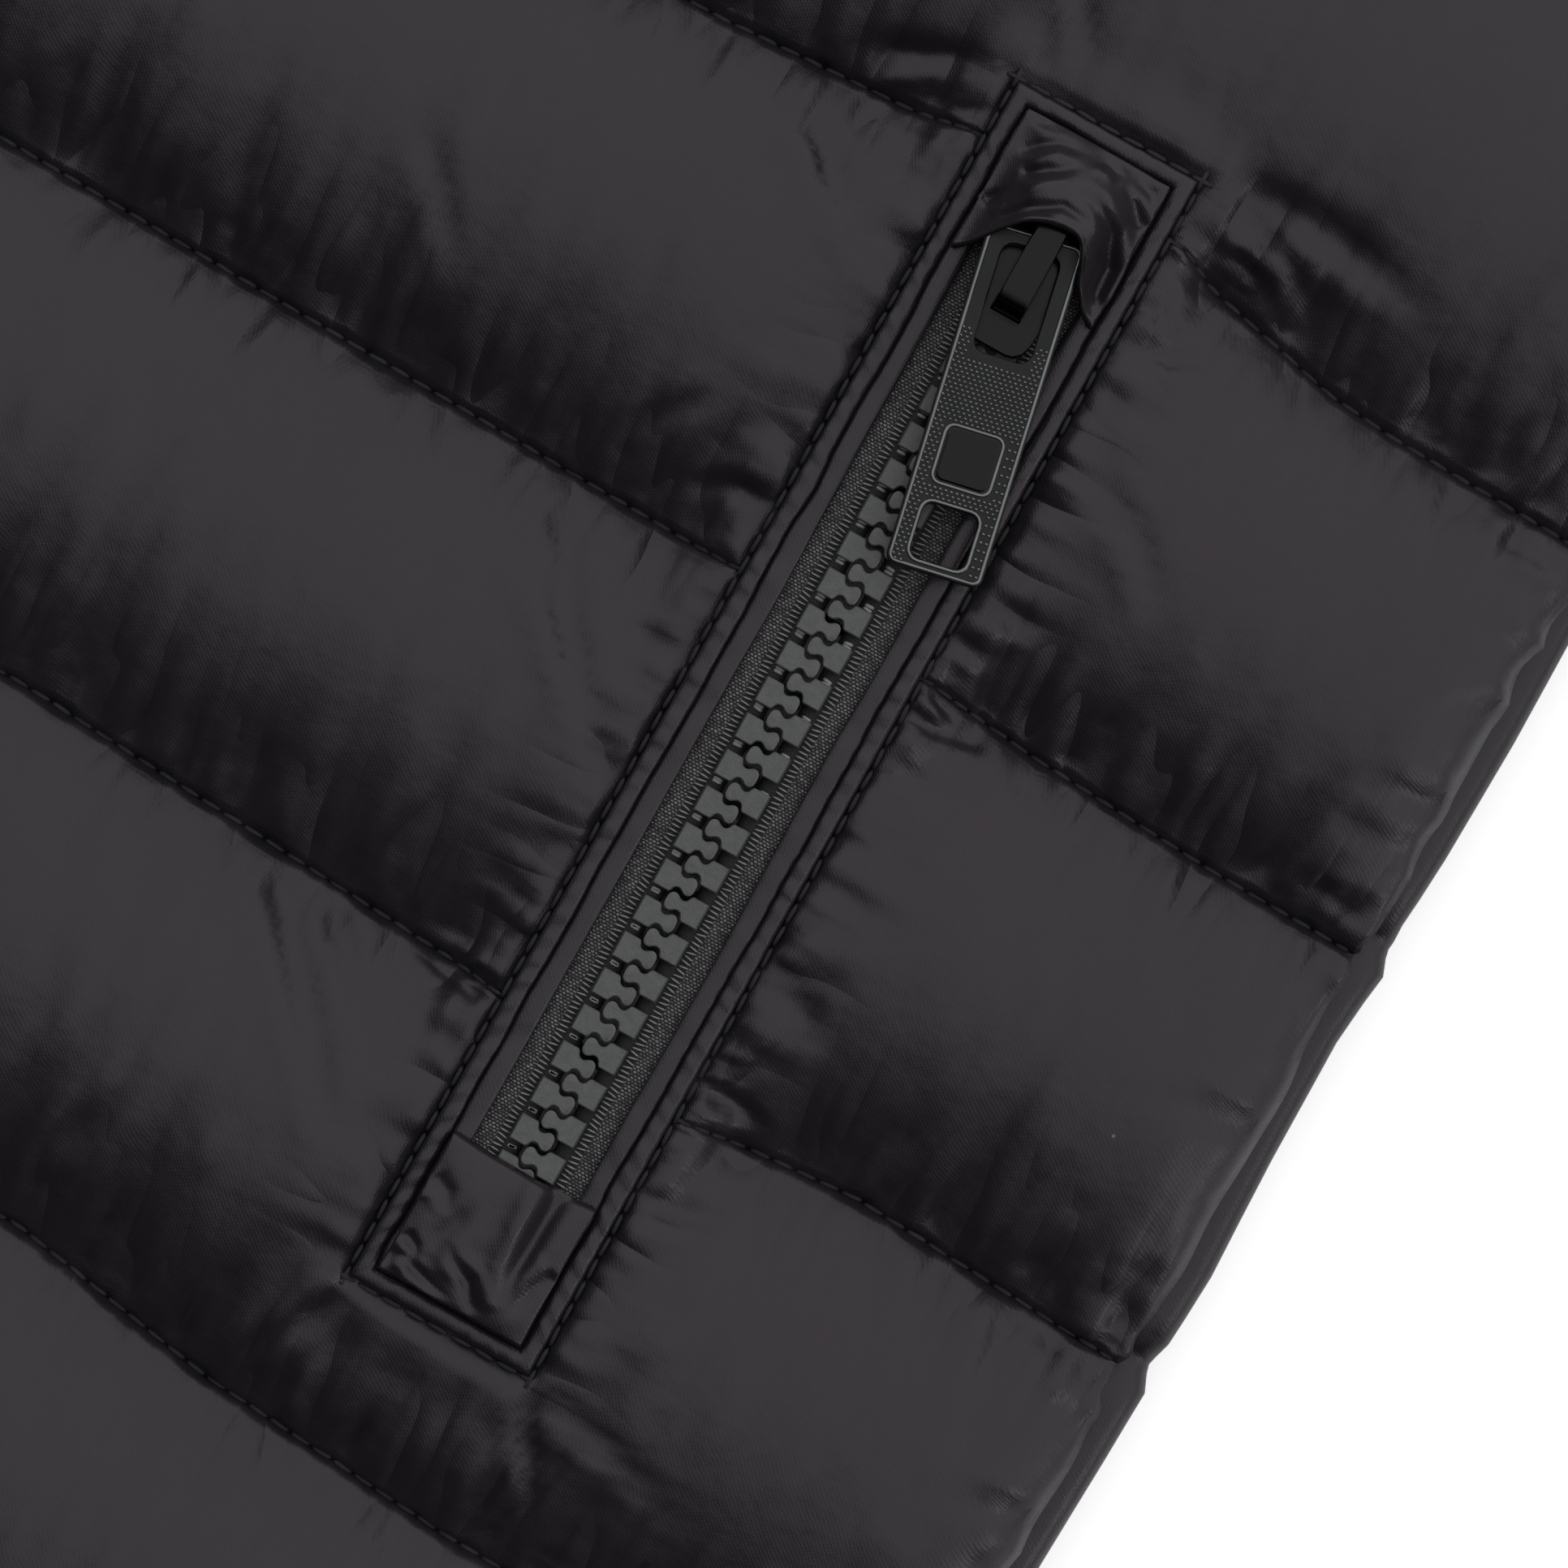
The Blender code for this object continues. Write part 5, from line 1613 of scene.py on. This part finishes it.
@shader_group("Lint", {"Vector": "Vector", "Scale": 180.0, "Share": 0.12}, {"Mask": "Float"})
def lint(tree, given):
    """Sparse specks of lint: the middles of a few random cells."""
    cells = add(tree, "TexVoronoi", {"Vector": given["Vector"], "Scale": given["Scale"]})
    near = ranged(tree, cells["Distance"], 0.035, 0.02)
    odd = add(tree, "SeparateColor", {0: cells["Color"]})[0]
    return {"Mask": reckoned(tree, "MULTIPLY", near, reckoned(tree, "LESS_THAN", odd, given["Share"]))}


@shader_group("Fine crumpling", {"Vector": "Vector", "Scale": 150.0}, {"Height": "Float"})
def crumpling(tree, given):
    """Fine crumpling of a light cloth, or the grain of a hard finish."""
    values = {"Scale": given["Scale"], "Detail": 4.0, "Roughness": 0.5}
    return {"Height": add(tree, "TexNoise", {"Vector": given["Vector"], **values})["Fac"]}


@shader_group("Gathers", {"Vector": "Vector", "Seam": 0.0, "Side": 0.0}, {"Height": "Float"})
def gathers(tree, given):
    """Rounded bunches with sharp valleys, drawn out away from a seam or from a pocket's side."""
    heights = []
    for mark, stretch in (("Seam", (210.0, 48.0, 0.0)), ("Side", (48.0, 170.0, 0.0))):
        at = reckoned(tree, "MULTIPLY", given["Vector"], stretch, kind="VectorMath")
        noise = add(tree, "TexNoise", {"Vector": at, "Scale": 1.0, "Detail": 1.0, "Roughness": 0.4})
        bunch = reckoned(tree, "ABSOLUTE", reckoned(tree, "SUBTRACT", noise["Fac"], 0.5))
        heights.append(reckoned(tree, "MULTIPLY", bunch, given[mark]))
    return {"Height": reckoned(tree, "ADD", *heights)}


LINT = (0.12, 0.12, 0.13, 1)
SATIN_TINT = (1.0, 0.9, 0.985, 1)
GATHER_DEPTH = 0.004


def new_material(name, values):
    """A material, its tree and its shader's inputs, some of them set."""
    material = bpy.data.materials.new(name)
    material.use_nodes = True
    tree = material.node_tree
    inputs = tree.nodes["Principled BSDF"].inputs
    fill(tree, inputs, values)
    return material, tree, inputs


def shifted(rgba, factor):
    return (*[min(1.0, c * factor) for c in rgba[:3]], 1.0)


def mottled(tree, at, rgba, factor, scale, amount, roughness, change):
    """The shader's colour and roughness, wandering between a colour and its lighter shade."""
    made = grouped(tree, mottle, {
        "Vector": at, "Colour": rgba, "Second Colour": shifted(rgba, factor), "Scale": scale,
        "Amount": amount, "Roughness": roughness, "Roughness Change": change,
    })
    return {"Base Color": made["Colour"], "Roughness": made["Roughness"]}


def cloth_material(name, rgba, roughness, weave_depth, crumple_depth):
    """Satin cloth with fine gathers at its seams, crumples, a twill weave and a little lint."""
    sheen = {"Specular IOR Level": 0.45, "Specular Tint": SATIN_TINT}
    material, tree, inputs = new_material(name, sheen)
    at = add(tree, "TexCoord")["Object"]
    look = mottled(tree, at, rgba, 1.35, 25.0, 0.5, roughness, 0.05)
    specks = grouped(tree, lint, {"Vector": at, "Scale": 160.0, "Share": 0.05})["Mask"]
    look["Base Color"] = blended(tree, specks, look["Base Color"], LINT)
    marks = {
        "Vector": add(tree, "Attribute", attribute_name="own_place")["Vector"],
        "Seam": add(tree, "Attribute", attribute_name="seam_gathers")["Fac"],
        "Side": add(tree, "Attribute", attribute_name="side_gathers")["Fac"],
    }
    normal = bumped(tree, grouped(tree, gathers, marks)["Height"], GATHER_DEPTH)
    crumples = grouped(tree, crumpling, {"Vector": at, "Scale": 210.0})["Height"]
    normal = bumped(tree, crumples, crumple_depth, Normal=normal)
    threads = grouped(tree, weave, {"Vector": at, "Threads": 1150.0})["Height"]
    fill(tree, inputs, {**look, "Normal": bumped(tree, threads, weave_depth, Normal=normal)})
    return material


def plain_material(name, rgba, roughness, metallic, scale, depth, amount=0.4, specular=0.5):
    """A hard or thread finish: a wandering colour and a fine grain."""
    shine = {"Metallic": metallic, "Specular IOR Level": specular}
    material, tree, inputs = new_material(name, shine)
    at = add(tree, "TexCoord")["Object"]
    look = mottled(tree, at, rgba, 1.5, scale, amount, roughness, 0.1)
    grain = grouped(tree, crumpling, {"Vector": at, "Scale": scale * 2.5})["Height"]
    fill(tree, inputs, {**look, "Normal": bumped(tree, grain, depth)})
    return material


def tape_material(rgba):
    """Knitted tape: stitches like bricks, lightened as painted highlight for their glints, and darker beside
    the teeth as painted shade.
    """
    material, tree, inputs = new_material("knitted_tape", {"Roughness": 0.75})
    at = add(tree, "UVMap", uv_map="along_tape")["UV"]
    across = add(tree, "SeparateXYZ", {0: at})["X"]
    wobble = add(tree, "TexNoise", {"Vector": at, "Scale": 22.0, "Detail": 1.0})["Color"]
    shaken = reckoned(tree, "MULTIPLY_ADD", wobble, (0.02, 0.02, 0.0), at, kind="VectorMath")
    # The knit's bricks are a real pattern, but they are lighter than the tape as painted highlight for the
    # glints on its stitches.
    knit = add(tree, "TexBrick", {
        "Vector": shaken, "Color1": shifted(rgba, 3.6), "Color2": shifted(rgba, 12.0),
        "Mortar": shifted(rgba, 0.25), "Scale": 1.0, "Mortar Size": 0.0082, "Mortar Smooth": 0.6,
        "Brick Width": 0.043, "Row Height": 0.031,
    })
    # Painted shade: the tape is darker near the teeth, where they shade it.
    beyond_painted_shade = ranged(tree, across, 0.41, 0.44)
    high = ranged(tree, knit["Fac"], 0.0, 1.0, 1.0, 0.0)
    fill(tree, inputs, {
        "Base Color": blended(tree, beyond_painted_shade, shifted(rgba, 0.45), knit["Color"]),
        "Normal": bumped(tree, high, 0.00012),
    })
    return material


MATERIALS = {}


def materials():
    """Every finish of the jacket, made once."""
    if not MATERIALS:
        use = colours()
        cloth, thread, tapes, chain, lacquer, plate = (
            tuple(rgba) for rgba in (use.cloth, use.thread, use.tape, use.teeth, use.slider, use.pull)
        )
        MATERIALS.update(
            cloth=cloth_material("satin_nylon", cloth, 0.33, 0.000014, 0.0002),
            thread=plain_material("sewing_thread", thread, 0.7, 0.0, 1500.0, 0.00004, specular=0.25),
            tape=tape_material(tapes),
            # The yarn and the cord take the tape's colour much lightened: painted highlight.
            yarn=plain_material("yarn_painted_highlight", shifted(tapes, 12.0), 0.4, 0.0, 1500.0, 0.00003),
            teeth=plain_material("moulded_teeth", chain, 0.42, 0.0, 1400.0, 0.00005, 0.8),
            slider=plain_material("lacquer_and_painted_shade", lacquer, 0.15, 0.0, 300.0, 0.000006, 0.2, 0.25),
            # The relief and rims are the plated metal much lightened: painted highlight.
            pull=plain_material("relief_painted_highlight", shifted(plate, 7.5), 0.3, 0.95, 500.0, 0.00001),
            pull_plain=plain_material("plated_metal", plate, 0.3, 0.9, 500.0, 0.000008),
        )
    return MATERIALS


# --- Floor, light and camera ----------------------------------------------------------------------

VIEW_MIDDLE = (0.2112, 0.1679 - LENGTH / 2 * MM)  # of the photographed part, in metres
VIEW_WIDE, VIEW_TURN, LENS, SENSOR = 0.1533, math.radians(30), 100.0, 36.0
VIEW_FOCUS = FRONT_Z + SEAM_THICK + 8.0  # the height at which the view is so wide
FLOOR_HALF, FLOOR_Z, FLOOR_GLOW = 6.0, -0.0004, 0.5
DOME_LEAN_ACROSS = 0.12  # the dome leans a little to the wearer's left too
LAMP_WAY = math.radians(-10)  # from across towards up
LAMP_LEAN = math.radians(72)  # from overhead
LAMP_WIDE, LAMP_CORE = math.radians(9), math.radians(6)  # half the angle of the lamp, and of its core


def make_floor():
    tint = tuple(colours().floor)
    material, tree, inputs = new_material("pale_floor", {"Emission Color": (1, 1, 1, 1)})
    look = mottled(tree, add(tree, "TexCoord")["Object"], tint, 0.985, 3.0, 0.5, 0.7, 0.05)
    seen = add(tree, "LightPath")["Is Camera Ray"]
    fill(tree, inputs, {**look, "Emission Strength": reckoned(tree, "MULTIPLY", seen, FLOOR_GLOW)})
    corners = [(FLOOR_HALF * x, FLOOR_HALF * y, FLOOR_Z) for x, y in ((-1, -1), (1, -1), (1, 1), (-1, 1))]
    mesh_object("floor", corners, [(0, 1, 2, 3)], material, smooth=False)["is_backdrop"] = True


def make_light():
    """A soft dome from overhead to the jacket's upper side, dark towards its hem."""
    light = bpy.context.scene.jacket_light
    world_ = bpy.data.worlds.new("soft_light")
    bpy.context.scene.world = world_
    world_.use_nodes = True
    tree = world_.node_tree
    at = add(tree, "TexCoord")["Generated"]

    def disc(towards, wide, core, low, high):
        """Light from round a direction, full within its core."""
        facing = add(tree, "VectorMath", {0: at, 1: towards}, operation="DOT_PRODUCT")["Value"]
        span = math.cos(wide), math.cos(core), low, high
        return ranged(tree, facing, *span, interpolation_type="SMOOTHSTEP")

    lean, way = (math.sin(light.lean), math.cos(light.lean)), (math.sin(LAMP_LEAN), math.cos(LAMP_LEAN))
    dome = (DOME_LEAN_ACROSS * lean[0], *lean)
    lamp = (way[0] * math.cos(LAMP_WAY), way[0] * math.sin(LAMP_WAY), way[1])
    wide, core = light.spread + light.soft, light.spread - light.soft
    both = reckoned(
        tree, "ADD", disc(dome, wide, core, light.least, light.strength),
        disc(lamp, LAMP_WIDE, LAMP_CORE, 0.0, light.lamp),
    )
    fill(tree, tree.nodes["Background"].inputs, {"Color": (1, 1, 1, 1), "Strength": both})


def make_camera():
    data = bpy.data.cameras.new("camera")
    data.lens, data.sensor_width = LENS, SENSOR
    camera = added(bpy.data.objects.new("camera", data))
    camera.location = (*VIEW_MIDDLE, VIEW_FOCUS * MM + VIEW_WIDE * LENS / SENSOR)
    camera.rotation_euler = (0, 0, VIEW_TURN)
    bpy.context.scene.camera = camera
    bpy.context.scene.view_settings.view_transform = "Standard"


# --- Operators, panel and main --------------------------------------------------------------------


def operator(idname, label, description, *steps):
    """An operator that runs the given steps in order."""

    def execute(self, context):
        for step in steps:
            step()
        return {"FINISHED"}

    parts = {"bl_idname": "jacket." + idname, "bl_label": label, "__doc__": description, "execute": execute}
    return type("JACKET_OT_" + idname, (bpy.types.Operator,), parts)


OPERATORS = (
    operator("stage", "Stage", "Make the floor, light and camera", make_floor, make_light, make_camera),
    operator("padded", "Padded pieces", "Let out the fronts, sleeve tops, hood and collar", make_padded),
    operator("underlayer", "Layer underneath", "Make the back and the undersides", make_underlayer),
    operator("cuffs", "Cuffs", "Make the gathered cuffs", make_cuffs),
    operator("pockets", "Pockets", "Make the pockets' frames and their cloth", make_pockets),
    operator("zips", "Zips", "Make the tapes, teeth, sliders and pull tabs", make_zips),
    operator("stitches", "Stitches", "Sew the quilting seams", make_stitches),
)


class JACKET_PT_panel(bpy.types.Panel):
    """Everything that makes the jacket, with its settings."""

    bl_label = "Jacket"
    bl_idname = "JACKET_PT_panel"
    bl_space_type = "VIEW_3D"
    bl_region_type = "UI"
    bl_category = "Jacket"

    def draw(self, context):
        for operator_class in OPERATORS:
            self.layout.operator(operator_class.bl_idname)
        for group in ("jacket_padding", "jacket_sewing", "jacket_colours", "jacket_light"):
            settings = getattr(context.scene, group)
            for name in settings.bl_rna.properties.keys():
                if name not in ("rna_type", "name"):
                    self.layout.prop(settings, name)


GROUPS = {
    "jacket_padding": JacketPadding, "jacket_sewing": JacketSewing,
    "jacket_colours": JacketColours, "jacket_light": JacketLight,
}


def register():
    for name, group in GROUPS.items():
        bpy.utils.register_class(group)
        setattr(bpy.types.Scene, name, PointerProperty(type=group))
    for operator_class in OPERATORS:
        bpy.utils.register_class(operator_class)
    bpy.utils.register_class(JACKET_PT_panel)


def unregister():
    bpy.utils.unregister_class(JACKET_PT_panel)
    for operator_class in reversed(OPERATORS):
        bpy.utils.unregister_class(operator_class)
    for name, group in reversed(GROUPS.items()):
        delattr(bpy.types.Scene, name)
        bpy.utils.unregister_class(group)


def main():
    register()
    for operator_class in OPERATORS:
        getattr(bpy.ops.jacket, operator_class.bl_idname.split(".")[1])()
    for obj in [o for o in bpy.data.objects if o.name.endswith("_piece")]:
        bpy.data.objects.remove(obj, do_unlink=True)
    bpy.context.view_layer.update()
    boxes = {"cad": CAD_BOX, "visual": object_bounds()}
    {key: [list(corner) for corner in box] for key, box in boxes.items()}


if __name__ == "__main__":
    main()
